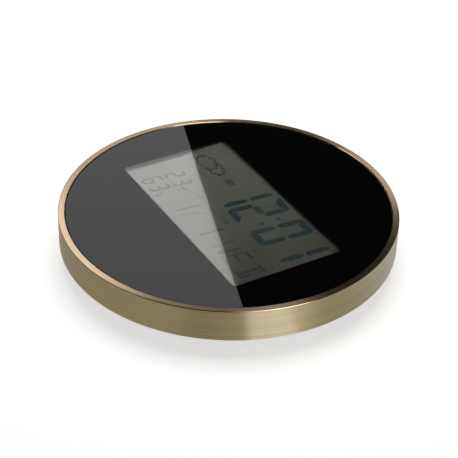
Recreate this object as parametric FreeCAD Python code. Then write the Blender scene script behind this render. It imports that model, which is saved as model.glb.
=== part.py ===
"""A round home weather station: a metal bezel ring round a black glass face with a liquid crystal display, on a
plastic rear case with a battery bay, six keys, a fold-out stand and a hanger plate.

Millimetres. The station lies on its back: the origin is on the table under the middle of the ring, +Z points out of
the face, +X is the way the display reads and +Y is the display's top. Every level is stacked up from the table.
"""

import FreeCAD
import Part
import math
import os

V = FreeCAD.Vector

# ---------------------------------------------------------------- driving dimensions

# Bezel ring
RING_D = 150.0
RING_H = 14.8
RING_WALL = 2.9
RING_EDGE = 0.35        # rounding of the two outer edges
RING_BREAK = 0.15       # chamfer of the top inner edge
LEDGE_T = 1.5           # inner ledge that the two case halves clamp
LEDGE_W = 2.6

# Face
GLASS_T = 2.0
GLASS_SINK = 0.3        # how far the glass lies below the ring's top
GLASS_GAP = 0.15        # play between the glass and the ring
GLASS_EDGE = 0.25
MASK_T = 0.1
TAPE_T = 0.4
TAPE_MARGIN = 2.0       # the tape stays this far back from the window
WINDOW_W = 101.8
WINDOW_H = 55.0
WINDOW_CORNER = 1.6
CARRIER_T = 2.0
CARRIER_POCKET = 1.3    # the display stands this deep in a pocket of the carrier, close behind the glass
CARRIER_REVEAL = 0.2    # the carrier's opening is larger than the window by this, all round

# Display panel
PANEL_MARGIN_X = 3.1    # panel glass beyond the window at each end
PANEL_MARGIN_Y = 1.5    # and above and below it
CONTACT_LEDGE = 4.0     # the front plate reaches down this far past the rear plate
PLATE_T = 1.1
POLARISER_T = 0.2
REFLECTOR_T = 0.3
FILM_INSET = 0.9        # films stop this far inside the rear plate's edge
PANEL_GAP = 0.2
FRAME_WALL = 1.6
FRAME_FLOOR = 2.3
ZEBRA_W = 2.4
ZEBRA_END = 4.0         # the strip stops this far from the panel's ends

# Circuit board
BOARD_T = 1.6
BOARD_TOP_Y = 5.0
BOARD_DROP = 5.2        # the board reaches this far below the frame
BOARD_EAR = 2.6         # board beyond a screw's centre
BOARD_EAR_BOTTOM_Y = -32.0
BOARD_EAR_TOP_Y = -6.0
BOARD_NECK = 4.8        # how much narrower the board is above its ears

# Screws: shank radius, head radius, head height
SMALL_SHANK, SMALL_HEAD, SMALL_HEAD_H = 0.9, 1.9, 1.2
CASE_SHANK, CASE_HEAD, CASE_HEAD_H = 1.25, 2.4, 1.6
SCREW_PLAY = 0.03       # radial, where a screw bites
HOLE_PLAY = 0.25        # radial, where a screw passes through
BOSS_WALL = 1.3
CASE_BOSS_WALL = 1.72
CASE_SCREWS = 6
CASE_SCREW_INSET = 8.1  # screw circle inside the ring's bore

# Rear case
FOOT_H = 1.0            # how far the feet stand out of the back
FOOT_SINK = 0.5
FOOT_R = 4.5
FOOT_AT = (31.0, 40.5)
BACK_T = 2.0
CASE_WALL = 2.0
CASE_GAP = 0.3          # between the case's skirt and the ring's bore
SHOULDER_RISE = 0.6     # the shoulder lies this far above the ring's lower edge
BULGE_INSET = 13.1      # the bulge's wall inside the ring's bore
BULGE_EDGE = 3.0
SHOULDER_FILLET = 1.5
SPLIT_Z_DROP = 5.0      # case bosses meet this far below the carrier

# Batteries, two of AAA size side by side
BATTERY_D = 10.5
BATTERY_L = 44.5
NUB_R = 1.9
NUB_L = 1.0
BATTERY_GAP = 0.2       # between the cells, and over the door
BAY_PLAY = 0.3
BAY_BOTTOM_Y = 8.6
BAY_WALL = 1.2
BAY_CEILING = 1.0
CEILING_GAP = 0.1
FRAME_GAP = 0.2         # air between the bay's ceiling and the display frame
CONTACT_T = 0.4
CONTACT_H = 8.0
CONTACT_W = 8.6
SPRING_L = 4.7
SPRING_WIRE = 0.3
SPRING_TURNS = 3.5
SPRING_RUNS = 16        # straight runs in each turn
SPRING_R = 3.2
SPRING_TIP_R = 2.1
TAB_L = 3.2             # a contact's soldering tab, past the bay's wall

# Battery door
DOOR_T = 1.3
DOOR_LAP = 3.0          # the door is larger than the bay's opening by this at each end
DOOR_LAP_Y = 0.9
DOOR_GAP = 0.3
HINGE_GAP = 0.6
KNUCKLE_R = 1.0
KNUCKLE_W = 8.0
KNUCKLE_X = 20.0
KNUCKLE_OUT = 1.2       # the pivot beyond the door's edge
PIVOT_R = 0.6
PIVOT_L = 1.3
PIVOT_PLAY = 0.08
DOOR_OPENS = 80.0
TONGUE_W, TONGUE_T, TONGUE_H = 12.0, 0.8, 1.9
SCOOP_R = 7.0

# Fold-out stand
STAND_W = 36.0
STAND_L = 41.0          # hinge to tip
STAND_T = 3.0
STAND_HINGE_Y = -49.5
STAND_SINK = 0.4        # the closed stand lies this far inside the back
STAND_KNUCKLE_R = 1.7
STAND_PIN_R = 1.0
STAND_PIN_PLAY = 0.06
STAND_SIDE_GAP = 0.6
STAND_HEEL_GAP = 1.1
STAND_TIP_R = 6.0
STAND_PAD_L = 6.0       # rubber pad let into the tip
RECESS_DEPTH = 4.2
RECESS_WALL = 1.5
NOTCH_W = 18.0
NOTCH_L = 6.2

# Keys on the back
KEY_R = 3.5
KEY_GAP = 0.3
KEY_PROUD = 0.5
KEY_FLANGE_R = 4.5
KEY_FLANGE_T = 1.0
KEY_STEM_R = 1.5
KEY_COLLAR_WALL = 1.0
KEY_COLLAR_H = 2.5
KEY_X = 34.0
KEY_YS = (-28.0, -16.0, -4.0)
KEY_NAMES = (("set", "up", "down"), ("units", "alarm", "snooze"))
SWITCH_W = 6.0
SWITCH_H = 3.5
PLUNGER_R = 1.7
PLUNGER_OUT = 1.5
PLUNGER_IN = 0.4
PLUNGER_PLAY = 0.2
PLUNGER_ROOM = 0.6      # free depth over the plunger inside its switch

# Hanger plate
HANGER_W, HANGER_H, HANGER_T = 24.0, 15.0, 1.0
HANGER_Y = 45.5
HANGER_CORNER = 1.5
HANGER_GAP = 0.15
KEYHOLE_R = 4.0
KEYHOLE_SLOT_R = 2.0
KEYHOLE_DROP = 2.0      # round hole's centre below the plate's middle
KEYHOLE_RISE = 3.2      # slot's end above it
HANGER_SCREW_X = 9.3
HANGER_SCREW_L = 4.5
POCKET_W, POCKET_H, POCKET_DEPTH = 11.0, 14.0, 5.0
POCKET_WALL = 1.2

# Buzzer and air sensor
BUZZER_AT = (-41.5, 17.0)
BUZZER_R, BUZZER_T = 10.0, 0.3
CERAMIC_R, CERAMIC_T = 7.0, 0.25
BUZZER_RIB_T, BUZZER_RIB_H = 1.2, 2.0
SOUND_HOLE_R, SOUND_HOLE_RING, SOUND_HOLES = 0.8, 4.0, 6
SENSOR_AT = (40.5, 17.0)
SENSOR_BOARD_W, SENSOR_BOARD_H, SENSOR_BOARD_T = 14.0, 11.0, 1.0
SENSOR_CHIP_W, SENSOR_CHIP_T = 5.0, 1.6
SENSOR_CAN_R, SENSOR_CAN_T = 2.0, 1.1
SENSOR_POST_R = 1.2
SENSOR_AIR = 3.0        # between the back and the sensor's board
VENT_W, VENT_L, VENT_PITCH, VENTS = 1.2, 10.0, 2.4, 5
BAFFLE_T, BAFFLE_H = 1.0, 5.0
BAFFLE_GAP = 0.6

LEAD_R = 0.55

# ---------------------------------------------------------------- levels, from the table up

BACK_Z = FOOT_H
BACK_IN_Z = BACK_Z + BACK_T
DOOR_IN_Z = BACK_Z + DOOR_T
BATTERY_Z = DOOR_IN_Z + BATTERY_GAP + BATTERY_D / 2
CEILING_Z = BATTERY_Z + BATTERY_D / 2 + CEILING_GAP
FRAME_Z = CEILING_Z + BAY_CEILING + FRAME_GAP
BOARD_Z = FRAME_Z - BOARD_T
REFLECTOR_Z = FRAME_Z + FRAME_FLOOR
REAR_PLATE_Z = REFLECTOR_Z + REFLECTOR_T
FRONT_PLATE_Z = REAR_PLATE_Z + PLATE_T
POLARISER_Z = FRONT_PLATE_Z + PLATE_T
PANEL_TOP_Z = POLARISER_Z + POLARISER_T
CARRIER_Z = PANEL_TOP_Z - CARRIER_POCKET
TAPE_Z = CARRIER_Z + CARRIER_T
MASK_Z = TAPE_Z + TAPE_T
GLASS_Z = MASK_Z + MASK_T
RING_TOP_Z = GLASS_Z + GLASS_T + GLASS_SINK
RING_Z = RING_TOP_Z - RING_H
SHOULDER_Z = RING_Z + SHOULDER_RISE
LEDGE_Z = CARRIER_Z - LEDGE_T
SPLIT_Z = CARRIER_Z - SPLIT_Z_DROP

# ---------------------------------------------------------------- radii and outlines

RING_R = RING_D / 2
BORE_R = RING_R - RING_WALL
GLASS_R = BORE_R - GLASS_GAP
CASE_R = BORE_R - CASE_GAP
BULGE_R = BORE_R - BULGE_INSET
CASE_SCREW_R = BORE_R - CASE_SCREW_INSET

PANEL_X = WINDOW_W / 2 + PANEL_MARGIN_X
PANEL_Y = WINDOW_H / 2 + PANEL_MARGIN_Y
PANEL_LOW_Y = -PANEL_Y - CONTACT_LEDGE
FRAME_X = PANEL_X + PANEL_GAP + FRAME_WALL
FRAME_TOP_Y = PANEL_Y + PANEL_GAP + FRAME_WALL
FRAME_LOW_Y = PANEL_LOW_Y - PANEL_GAP - FRAME_WALL
ZEBRA_Y = -PANEL_Y - CONTACT_LEDGE / 2
SMALL_BOSS_R = SMALL_SHANK + BOSS_WALL
EAR_X = FRAME_X + SMALL_BOSS_R + PANEL_GAP
BOARD_X = EAR_X + BOARD_EAR
BOARD_LOW_Y = FRAME_LOW_Y - BOARD_DROP
BOARD_SCREWS = [
    (side * x, y)
    for side in (-1, 1)
    for x, y in (
        (EAR_X, BOARD_EAR_BOTTOM_Y + BOARD_EAR + 1.4),
        (EAR_X, BOARD_EAR_TOP_Y - BOARD_EAR - 0.4),
        (EAR_X / 2, FRAME_LOW_Y - SMALL_BOSS_R - PANEL_GAP),
    )
]
FRAME_SCREWS = [(side * EAR_X * 0.77, FRAME_TOP_Y + SMALL_BOSS_R + PANEL_GAP) for side in (-1, 1)]

BAY_X = (BATTERY_L + SPRING_L) / 2 + CONTACT_T
BAY_TOP_Y = BAY_BOTTOM_Y + 2 * BATTERY_D + BATTERY_GAP + 2 * BAY_PLAY
CELL_YS = (
    BAY_BOTTOM_Y + BAY_PLAY + BATTERY_D / 2,
    BAY_TOP_Y - BAY_PLAY - BATTERY_D / 2,
)
DOOR_X = BAY_X + DOOR_LAP
DOOR_LOW_Y = BAY_BOTTOM_Y - DOOR_LAP_Y
DOOR_TOP_Y = BAY_TOP_Y + DOOR_LAP_Y
PIVOT_Y = DOOR_TOP_Y + KNUCKLE_OUT
PIVOT_Z = BACK_Z + KNUCKLE_R

STAND_Z = BACK_Z + STAND_SINK
STAND_HINGE_Z = STAND_Z + STAND_KNUCKLE_R
STAND_TIP_Y = STAND_HINGE_Y + STAND_L
RECESS_X = STAND_W / 2 + STAND_SIDE_GAP
RECESS_LOW_Y = STAND_HINGE_Y - STAND_KNUCKLE_R - STAND_HEEL_GAP
RECESS_TOP_Y = STAND_TIP_Y + STAND_SIDE_GAP
RECESS_Z = BACK_Z + RECESS_DEPTH

SWITCH_Z = BOARD_Z - SWITCH_H
PLUNGER_Z = SWITCH_Z - PLUNGER_OUT
KEYHOLE_Y = HANGER_Y - KEYHOLE_DROP


# ---------------------------------------------------------------- solids used by several pieces

def rod(radius, low, high, x=0.0, y=0.0):
    """A cylinder standing on the level low and reaching high."""
    return Part.makeCylinder(radius, high - low, V(x, y, low))


def block(x0, x1, y0, y1, z0, z1):
    """A box between two corners."""
    return Part.makeBox(x1 - x0, y1 - y0, z1 - z0, V(x0, y0, z0))


def slab(x0, x1, y0, y1, z0, z1, corner):
    """A box whose four upright edges are rounded."""
    body = block(x0, x1, y0, y1, z0, z1)
    upright = [e for e in body.Edges if abs(e.tangentAt(e.FirstParameter).z) > 0.99]
    return body.makeFillet(corner, upright)


def tube(outer, inner, low, high, x=0.0, y=0.0):
    """A round wall between two radii."""
    return rod(outer, low, high, x, y).cut(rod(inner, low, high, x, y))


def turned(points):
    """The solid that a closed outline of (radius, height) points sweeps about the Z axis."""
    corners = [V(r, 0, z) for r, z in points]
    face = Part.Face(Part.makePolygon(corners + corners[:1]))
    return face.revolve(V(0, 0, 0), V(0, 0, 1), 360)


def rim_edges(body, radius, height):
    """The round edges of a body at one radius and height about the Z axis."""
    return [
        e
        for e in body.Edges
        if isinstance(e.Curve, Part.Circle)
        and abs(e.Curve.Radius - radius) < 1e-4
        and abs(e.Curve.Center.z - height) < 1e-4
        and math.hypot(e.Curve.Center.x, e.Curve.Center.y) < 1e-4
    ]


def bar_x(radius, x0, x1, y, z):
    """A cylinder lying along X."""
    return Part.makeCylinder(radius, x1 - x0, V(x0, y, z), V(1, 0, 0))


def joined(pieces):
    """Several overlapping solids as one."""
    whole = pieces[0].multiFuse(pieces[1:])
    return whole.removeSplitter()


def screw(x, y, head_z, length, shank, head, head_h):
    """A pan-head screw pointing up, whose head hangs below the level head_z, with a cross recess in it."""
    body = rod(shank, head_z, head_z + length, x, y)
    body = body.fuse(rod(head, head_z - head_h, head_z, x, y))
    arm, deep = head * 0.6, head_h * 0.55
    low = head_z - head_h
    cross = block(x - arm, x + arm, y - arm / 5, y + arm / 5, low, low + deep)
    cross = cross.fuse(block(x - arm / 5, x + arm / 5, y - arm, y + arm, low, low + deep))
    return body.cut(cross)


def ring_places():
    """Centres of the case screws, evenly spaced on their circle."""
    step = 2 * math.pi / CASE_SCREWS
    return [
        (CASE_SCREW_R * math.cos(k * step), CASE_SCREW_R * math.sin(k * step))
        for k in range(CASE_SCREWS)
    ]


def lead(points, radius=LEAD_R):
    """A round wire along straight runs joined by tangent arcs, each as large as its two runs allow."""
    stops = [V(*p) for p in points]
    edges = []
    start = stops[0]
    for before, here, after in zip(stops, stops[1:], stops[2:]):
        into = (here - before).normalize()
        out = (after - here).normalize()
        reach = 0.45 * min((here - before).Length, (after - here).Length)
        arc_start = here - into * reach
        arc_end = here + out * reach
        half_turn = into.getAngle(out) / 2
        sag = reach / math.tan(half_turn) * (1 / math.cos(half_turn) - 1)
        middle = here + (out - into).normalize() * sag
        edges.append(Part.LineSegment(start, arc_start).toShape())
        edges.append(Part.Arc(arc_start, middle, arc_end).toShape())
        start = arc_end
    edges.append(Part.LineSegment(start, stops[-1]).toShape())
    path = Part.Wire(edges)
    section = Part.Wire(Part.makeCircle(radius, stops[0], stops[1] - stops[0]))
    return path.makePipeShell([section], True, True)


# ---------------------------------------------------------------- bezel and face

def bezel_ring():
    """Brushed metal ring with an inner ledge. The case halves clamp the ledge from above and below."""
    body = turned([
        (BORE_R, RING_Z),
        (RING_R, RING_Z),
        (RING_R, RING_TOP_Z),
        (BORE_R + RING_BREAK, RING_TOP_Z),
        (BORE_R, RING_TOP_Z - RING_BREAK),
        (BORE_R, CARRIER_Z),
        (BORE_R - LEDGE_W, CARRIER_Z),
        (BORE_R - LEDGE_W, LEDGE_Z),
        (BORE_R, LEDGE_Z),
    ])
    edges = rim_edges(body, RING_R, RING_Z) + rim_edges(body, RING_R, RING_TOP_Z)
    return body.makeFillet(RING_EDGE, edges)


def front_glass():
    """Clear toughened glass disc with ground edges."""
    body = rod(GLASS_R, GLASS_Z, GLASS_Z + GLASS_T)
    edges = rim_edges(body, GLASS_R, GLASS_Z) + rim_edges(body, GLASS_R, GLASS_Z + GLASS_T)
    return body.makeChamfer(GLASS_EDGE, edges)


def window(grow, low, high):
    """The rounded rectangle of the display window, grown by a margin, as a cutting block."""
    x, y = WINDOW_W / 2 + grow, WINDOW_H / 2 + grow
    return slab(-x, x, -y, y, low, high, WINDOW_CORNER + grow)


def glass_mask():
    """Black mask film on the back of the glass, with the window left clear."""
    film = rod(GLASS_R - GLASS_EDGE, MASK_Z, GLASS_Z)
    return film.cut(window(0.0, MASK_Z, GLASS_Z))


def glass_tape():
    """Die-cut double-sided tape that holds the glass to the carrier."""
    sheet = rod(GLASS_R - TAPE_MARGIN, TAPE_Z, MASK_Z)
    return sheet.cut(window(TAPE_MARGIN, TAPE_Z, MASK_Z))


def front_carrier():
    """Moulded plate behind the glass. It rests on the ring's ledge, and its bosses take every screw from behind."""
    plate = rod(GLASS_R, CARRIER_Z, TAPE_Z)
    case_boss = CASE_SHANK + CASE_BOSS_WALL
    bosses = [rod(case_boss, SPLIT_Z, CARRIER_Z, x, y) for x, y in ring_places()]
    bosses += [rod(SMALL_BOSS_R, FRAME_Z, CARRIER_Z, x, y) for x, y in BOARD_SCREWS]
    bosses += [rod(SMALL_BOSS_R, REFLECTOR_Z, CARRIER_Z, x, y) for x, y in FRAME_SCREWS]
    body = joined([plate] + bosses)
    px, py = PANEL_X + PANEL_GAP, PANEL_Y + PANEL_GAP
    cuts = [window(CARRIER_REVEAL, CARRIER_Z, TAPE_Z)]
    cuts.append(block(-px, px, PANEL_LOW_Y - PANEL_GAP, py, CARRIER_Z, PANEL_TOP_Z))
    top = CARRIER_Z + CARRIER_T / 2
    cuts += [rod(CASE_SHANK + SCREW_PLAY, SPLIT_Z, top, x, y) for x, y in ring_places()]
    small = SMALL_SHANK + SCREW_PLAY
    cuts += [rod(small, FRAME_Z, top, x, y) for x, y in BOARD_SCREWS + FRAME_SCREWS]
    return body.cut(cuts)


# ---------------------------------------------------------------- display

def film(low, high):
    """A film the size of the rear plate, less its inset."""
    x, y = PANEL_X - FILM_INSET, PANEL_Y - FILM_INSET
    return block(-x, x, -y, y, low, high)


def panel_front_plate():
    """Front glass of the display, with the contact ledge along its lower edge."""
    return block(-PANEL_X, PANEL_X, PANEL_LOW_Y, PANEL_Y, FRONT_PLATE_Z, POLARISER_Z)


def panel_rear_plate():
    """Rear glass of the display."""
    return block(-PANEL_X, PANEL_X, -PANEL_Y, PANEL_Y, REAR_PLATE_Z, FRONT_PLATE_Z)


def display_frame():
    """Moulded tray that holds the display against the carrier, with a slot for the contact strip."""
    x, low, top = FRAME_X, FRAME_LOW_Y, FRAME_TOP_Y
    body = block(-x, x, low, top, FRAME_Z, CARRIER_Z)
    ears = []
    for sx, sy in FRAME_SCREWS:
        ears.append(rod(SMALL_BOSS_R, FRAME_Z, REFLECTOR_Z, sx, sy))
        ears.append(block(sx - SMALL_BOSS_R, sx + SMALL_BOSS_R, top - FRAME_WALL, sy, FRAME_Z, REFLECTOR_Z))
    body = joined([body] + ears)
    px, py = PANEL_X + PANEL_GAP, PANEL_Y + PANEL_GAP
    well = block(-px, px, PANEL_LOW_Y - PANEL_GAP, py, REFLECTOR_Z, CARRIER_Z)
    zx = PANEL_X - ZEBRA_END + PANEL_GAP
    zy = ZEBRA_W / 2 + PANEL_GAP
    slot = block(-zx, zx, ZEBRA_Y - zy, ZEBRA_Y + zy, FRAME_Z, REFLECTOR_Z)
    holes = [rod(SMALL_SHANK + HOLE_PLAY, FRAME_Z, REFLECTOR_Z, sx, sy) for sx, sy in FRAME_SCREWS]
    return body.cut([well, slot] + holes)


def contact_strip():
    """Striped rubber strip that carries the signals from the board to the display's ledge."""
    x = PANEL_X - ZEBRA_END
    return block(-x, x, ZEBRA_Y - ZEBRA_W / 2, ZEBRA_Y + ZEBRA_W / 2, FRAME_Z, FRONT_PLATE_Z)


# ---------------------------------------------------------------- circuit board

def main_board():
    """Circuit board behind the display's lower half, with two wide ears for its side screws."""
    neck = BOARD_X - BOARD_NECK
    slope = BOARD_NECK / 2
    half = [
        (BOARD_X - 2 * BOARD_NECK, BOARD_LOW_Y),
        (BOARD_X, BOARD_EAR_BOTTOM_Y),
        (BOARD_X, BOARD_EAR_TOP_Y),
        (neck, BOARD_EAR_TOP_Y + slope),
        (neck, BOARD_TOP_Y),
    ]
    outline = half + [(-x, y) for x, y in reversed(half)]
    corners = [V(x, y, BOARD_Z) for x, y in outline]
    face = Part.Face(Part.makePolygon(corners + corners[:1]))
    board = face.extrude(V(0, 0, BOARD_T))
    holes = [rod(SMALL_SHANK + HOLE_PLAY, BOARD_Z, FRAME_Z, x, y) for x, y in BOARD_SCREWS]
    return board.cut(holes)


def board_screws():
    """Six screws through the board into the carrier."""
    length = BOARD_T + (CARRIER_Z - FRAME_Z) - 0.6
    return [
        screw(x, y, BOARD_Z, length, SMALL_SHANK, SMALL_HEAD, SMALL_HEAD_H) for x, y in BOARD_SCREWS
    ]


def frame_screws():
    """Two screws through the display frame's ears into the carrier."""
    length = CARRIER_Z - FRAME_Z - 0.6
    return [
        screw(x, y, FRAME_Z, length, SMALL_SHANK, SMALL_HEAD, SMALL_HEAD_H) for x, y in FRAME_SCREWS
    ]


def processor_blob():
    """Domed resin drop over the processor, under the board."""
    blob_r, blob_h = 7.0, 1.9
    ball_r = (blob_r**2 + blob_h**2) / (2 * blob_h)
    ball = Part.makeSphere(ball_r, V(0, -20, BOARD_Z - blob_h + ball_r))
    return ball.common(rod(ball_r, BOARD_Z - blob_h, BOARD_Z, 0, -20))


def clock_crystal():
    """Watch crystal in its can, lying under the board, with its two wires bent up into it."""
    can_r, can_l, y = 1.0, 6.0, -32.5
    z = BOARD_Z - can_r
    can = bar_x(can_r, 12.0, 12.0 + can_l, y, z)
    wires = []
    for side in (-0.35, 0.35):
        wires.append(block(10.6, 12.2, y + side - 0.15, y + side + 0.15, z - 0.15, z + 0.15))
        wires.append(block(10.6, 10.9, y + side - 0.15, y + side + 0.15, z - 0.15, BOARD_Z))
    return joined([can] + wires)


def board_parts():
    """Chip resistors and capacitors in two rows beside the resin drop."""
    chip_w, chip_l, chip_t, pitch = 1.25, 2.0, 0.6, 3.2
    places = [(side * (12.0 + k * pitch), y) for side in (-1, 1) for k in range(4) for y in (-24.0, -17.0)]
    z = BOARD_Z - chip_t
    return [
        block(x - chip_w / 2, x + chip_w / 2, y - chip_l / 2, y + chip_l / 2, z, BOARD_Z) for x, y in places
    ]


def pressure_sensor():
    """Barometric sensor: a small metal can with a breathing hole."""
    x, y, size, height, hole = -8.0, -6.0, 2.0, 1.2, 0.4
    can = slab(x - size, x + size, y - size, y + size, BOARD_Z - height, BOARD_Z, 0.4)
    return can.cut(rod(hole, BOARD_Z - height, BOARD_Z - height / 2, x + size / 2, y + size / 2))


# ---------------------------------------------------------------- keys

def key_places():
    """(name, x, y) of each key, down the left column and then the right."""
    return [
        (name, side * KEY_X, y)
        for side, names in zip((-1, 1), KEY_NAMES)
        for name, y in zip(names, reversed(KEY_YS))
    ]


def key(x, y):
    """A round key with a retaining flange inside the back and a stem up to its switch."""
    cap = rod(KEY_R, BACK_Z - KEY_PROUD, BACK_IN_Z + KEY_FLANGE_T, x, y)
    rim = [e for e in cap.Edges if isinstance(e.Curve, Part.Circle) and e.Curve.Center.z < BACK_Z]
    cap = cap.makeFillet(KEY_PROUD * 0.6, rim)
    flange = rod(KEY_FLANGE_R, BACK_IN_Z, BACK_IN_Z + KEY_FLANGE_T, x, y)
    stem = rod(KEY_STEM_R, BACK_IN_Z, PLUNGER_Z, x, y)
    return joined([cap, flange, stem])


def plunger(x, y):
    """The moving button of a key's switch."""
    return rod(PLUNGER_R, PLUNGER_Z, SWITCH_Z + PLUNGER_IN, x, y)


def switch_bodies():
    """Square switch housings under the board, each bored for its plunger."""
    half = SWITCH_W / 2
    bodies = []
    for _, x, y in key_places():
        body = block(x - half, x + half, y - half, y + half, SWITCH_Z, BOARD_Z)
        room = SWITCH_Z + PLUNGER_IN + PLUNGER_ROOM
        bodies.append(body.cut(rod(PLUNGER_R + PLUNGER_PLAY, SWITCH_Z, room, x, y)))
    return bodies


# ---------------------------------------------------------------- rear case

def case_dish():
    """The rear case as turned: skirt in the ring, flat shoulder, and the bulge that reaches down to the back."""
    inner = BULGE_R - CASE_WALL
    outside = turned([
        (0, BACK_Z),
        (BULGE_R, BACK_Z),
        (BULGE_R, SHOULDER_Z),
        (CASE_R, SHOULDER_Z),
        (CASE_R, LEDGE_Z),
        (0, LEDGE_Z),
    ])
    outside = outside.makeFillet(BULGE_EDGE, rim_edges(outside, BULGE_R, BACK_Z))
    outside = outside.makeFillet(SHOULDER_FILLET, rim_edges(outside, BULGE_R, SHOULDER_Z))
    inside = turned([
        (0, BACK_IN_Z),
        (inner, BACK_IN_Z),
        (inner, SHOULDER_Z + CASE_WALL),
        (CASE_R - CASE_WALL, SHOULDER_Z + CASE_WALL),
        (CASE_R - CASE_WALL, LEDGE_Z),
        (0, LEDGE_Z),
    ])
    return outside.cut(inside)


def case_walls():
    """What stands inside the case: screw posts, battery bay, stand recess, hanger pocket, key collars, buzzer rib
    and sensor baffle."""
    walls = [rod(CASE_SHANK + CASE_BOSS_WALL, SHOULDER_Z, SPLIT_Z, x, y) for x, y in ring_places()]
    bay = BAY_WALL
    walls.append(block(
        -BAY_X - bay, BAY_X + bay, BAY_BOTTOM_Y - bay, BAY_TOP_Y + bay, BACK_IN_Z - 0.5, CEILING_Z + BAY_CEILING
    ))
    rest = RECESS_WALL
    walls.append(block(
        -RECESS_X - rest, RECESS_X + rest, RECESS_LOW_Y - rest, RECESS_TOP_Y + NOTCH_L + rest,
        BACK_IN_Z - 0.5, RECESS_Z + rest,
    ))
    px, py = POCKET_W / 2 + POCKET_WALL, POCKET_H / 2 + POCKET_WALL
    top = BACK_Z + HANGER_T + POCKET_DEPTH + POCKET_WALL
    walls.append(block(-px, px, HANGER_Y - py, HANGER_Y + py, BACK_IN_Z - 0.5, top))
    for side in (-1, 1):
        walls.append(rod(SMALL_BOSS_R, BACK_IN_Z - 0.5, top, side * HANGER_SCREW_X, HANGER_Y))
        ear = side * KNUCKLE_X
        reach = KNUCKLE_W / 2 + PIVOT_L + 1.4
        walls.append(block(
            ear - reach, ear + reach, BAY_TOP_Y, PIVOT_Y + KNUCKLE_R + 1.6,
            BACK_IN_Z - 0.5, PIVOT_Z + KNUCKLE_R + 1.4,
        ))
    for _, x, y in key_places():
        collar = KEY_FLANGE_R + KEY_GAP
        walls.append(tube(
            collar + KEY_COLLAR_WALL, collar, BACK_IN_Z - 0.5, BACK_IN_Z + KEY_COLLAR_H, x, y
        ))
    bx, by = BUZZER_AT
    walls.append(tube(
        BUZZER_R, BUZZER_R - BUZZER_RIB_T, BACK_IN_Z - 0.5, BACK_IN_Z + BUZZER_RIB_H, bx, by
    ))
    walls.append(sensor_baffle())
    sx, sy = SENSOR_AT
    for side in (-1, 1):
        walls.append(rod(
            SENSOR_POST_R, BACK_IN_Z - 0.5, BACK_IN_Z + SENSOR_AIR, sx + side * (SENSOR_BOARD_W / 2 - 2), sy
        ))
    return walls


def sensor_baffle():
    """Square wall round the air sensor, open over the vents."""
    sx, sy = SENSOR_AT
    x = SENSOR_BOARD_W / 2 + BAFFLE_GAP
    y = SENSOR_BOARD_H / 2 + BAFFLE_GAP
    top = BACK_IN_Z + BAFFLE_H
    low = BACK_IN_Z - 0.5
    outer = block(sx - x - BAFFLE_T, sx + x + BAFFLE_T, sy - y - BAFFLE_T, sy + y + BAFFLE_T, low, top)
    return outer.cut(block(sx - x, sx + x, sy - y, sy + y, low, top))


def stand_recess():
    """Room for the folded stand, the fingernail notch at its tip and the holes for its pin."""
    low = BACK_Z - 0.5
    room = block(-RECESS_X, RECESS_X, RECESS_LOW_Y, RECESS_TOP_Y, low, RECESS_Z)
    notch = slab(
        -NOTCH_W / 2, NOTCH_W / 2, RECESS_TOP_Y - 6, RECESS_TOP_Y + NOTCH_L, low, RECESS_Z, 2.5
    )
    reach = RECESS_X + RECESS_WALL + BACK_T
    pin = bar_x(STAND_PIN_R + STAND_PIN_PLAY, -reach, reach, STAND_HINGE_Y, STAND_HINGE_Z)
    return [room, notch, pin]


def door_rebate():
    """Room for the battery door, its knuckles and pivots, and a thumb scoop at its free edge."""
    low = BACK_Z - 0.5
    cuts = [block(
        -DOOR_X - DOOR_GAP, DOOR_X + DOOR_GAP, DOOR_LOW_Y - DOOR_GAP, DOOR_TOP_Y + HINGE_GAP,
        low, DOOR_IN_Z + 0.1,
    )]
    cuts.append(block(-BAY_X, BAY_X, BAY_BOTTOM_Y, BAY_TOP_Y, low, CEILING_Z))
    for side in (-1, 1):
        ear = side * KNUCKLE_X
        half = KNUCKLE_W / 2
        cuts.append(block(
            ear - half - DOOR_GAP, ear + half + DOOR_GAP, DOOR_TOP_Y, PIVOT_Y + KNUCKLE_R + 0.5,
            low, PIVOT_Z + KNUCKLE_R + 0.4,
        ))
        reach = half + PIVOT_L + 0.2
        cuts.append(bar_x(PIVOT_R + PIVOT_PLAY, ear - reach, ear + reach, PIVOT_Y, PIVOT_Z))
    scoop = Part.makeSphere(SCOOP_R, V(0, DOOR_LOW_Y - 1.0, BACK_Z - SCOOP_R + 1.2))
    cuts.append(scoop)
    return cuts


def hanger_seat():
    """Rebate for the hanger plate, the blind pocket behind its keyhole and its screw holes."""
    x, y = HANGER_W / 2 + HANGER_GAP, HANGER_H / 2 + HANGER_GAP
    seat_z = BACK_Z + HANGER_T
    cuts = [slab(-x, x, HANGER_Y - y, HANGER_Y + y, BACK_Z - 0.5, seat_z, HANGER_CORNER + HANGER_GAP)]
    px, py = POCKET_W / 2, POCKET_H / 2
    cuts.append(slab(-px, px, HANGER_Y - py, HANGER_Y + py, BACK_Z, seat_z + POCKET_DEPTH, 2.0))
    for side in (-1, 1):
        cuts.append(rod(
            SMALL_SHANK + SCREW_PLAY, BACK_Z, seat_z + HANGER_SCREW_L, side * HANGER_SCREW_X, HANGER_Y
        ))
    return cuts


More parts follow.
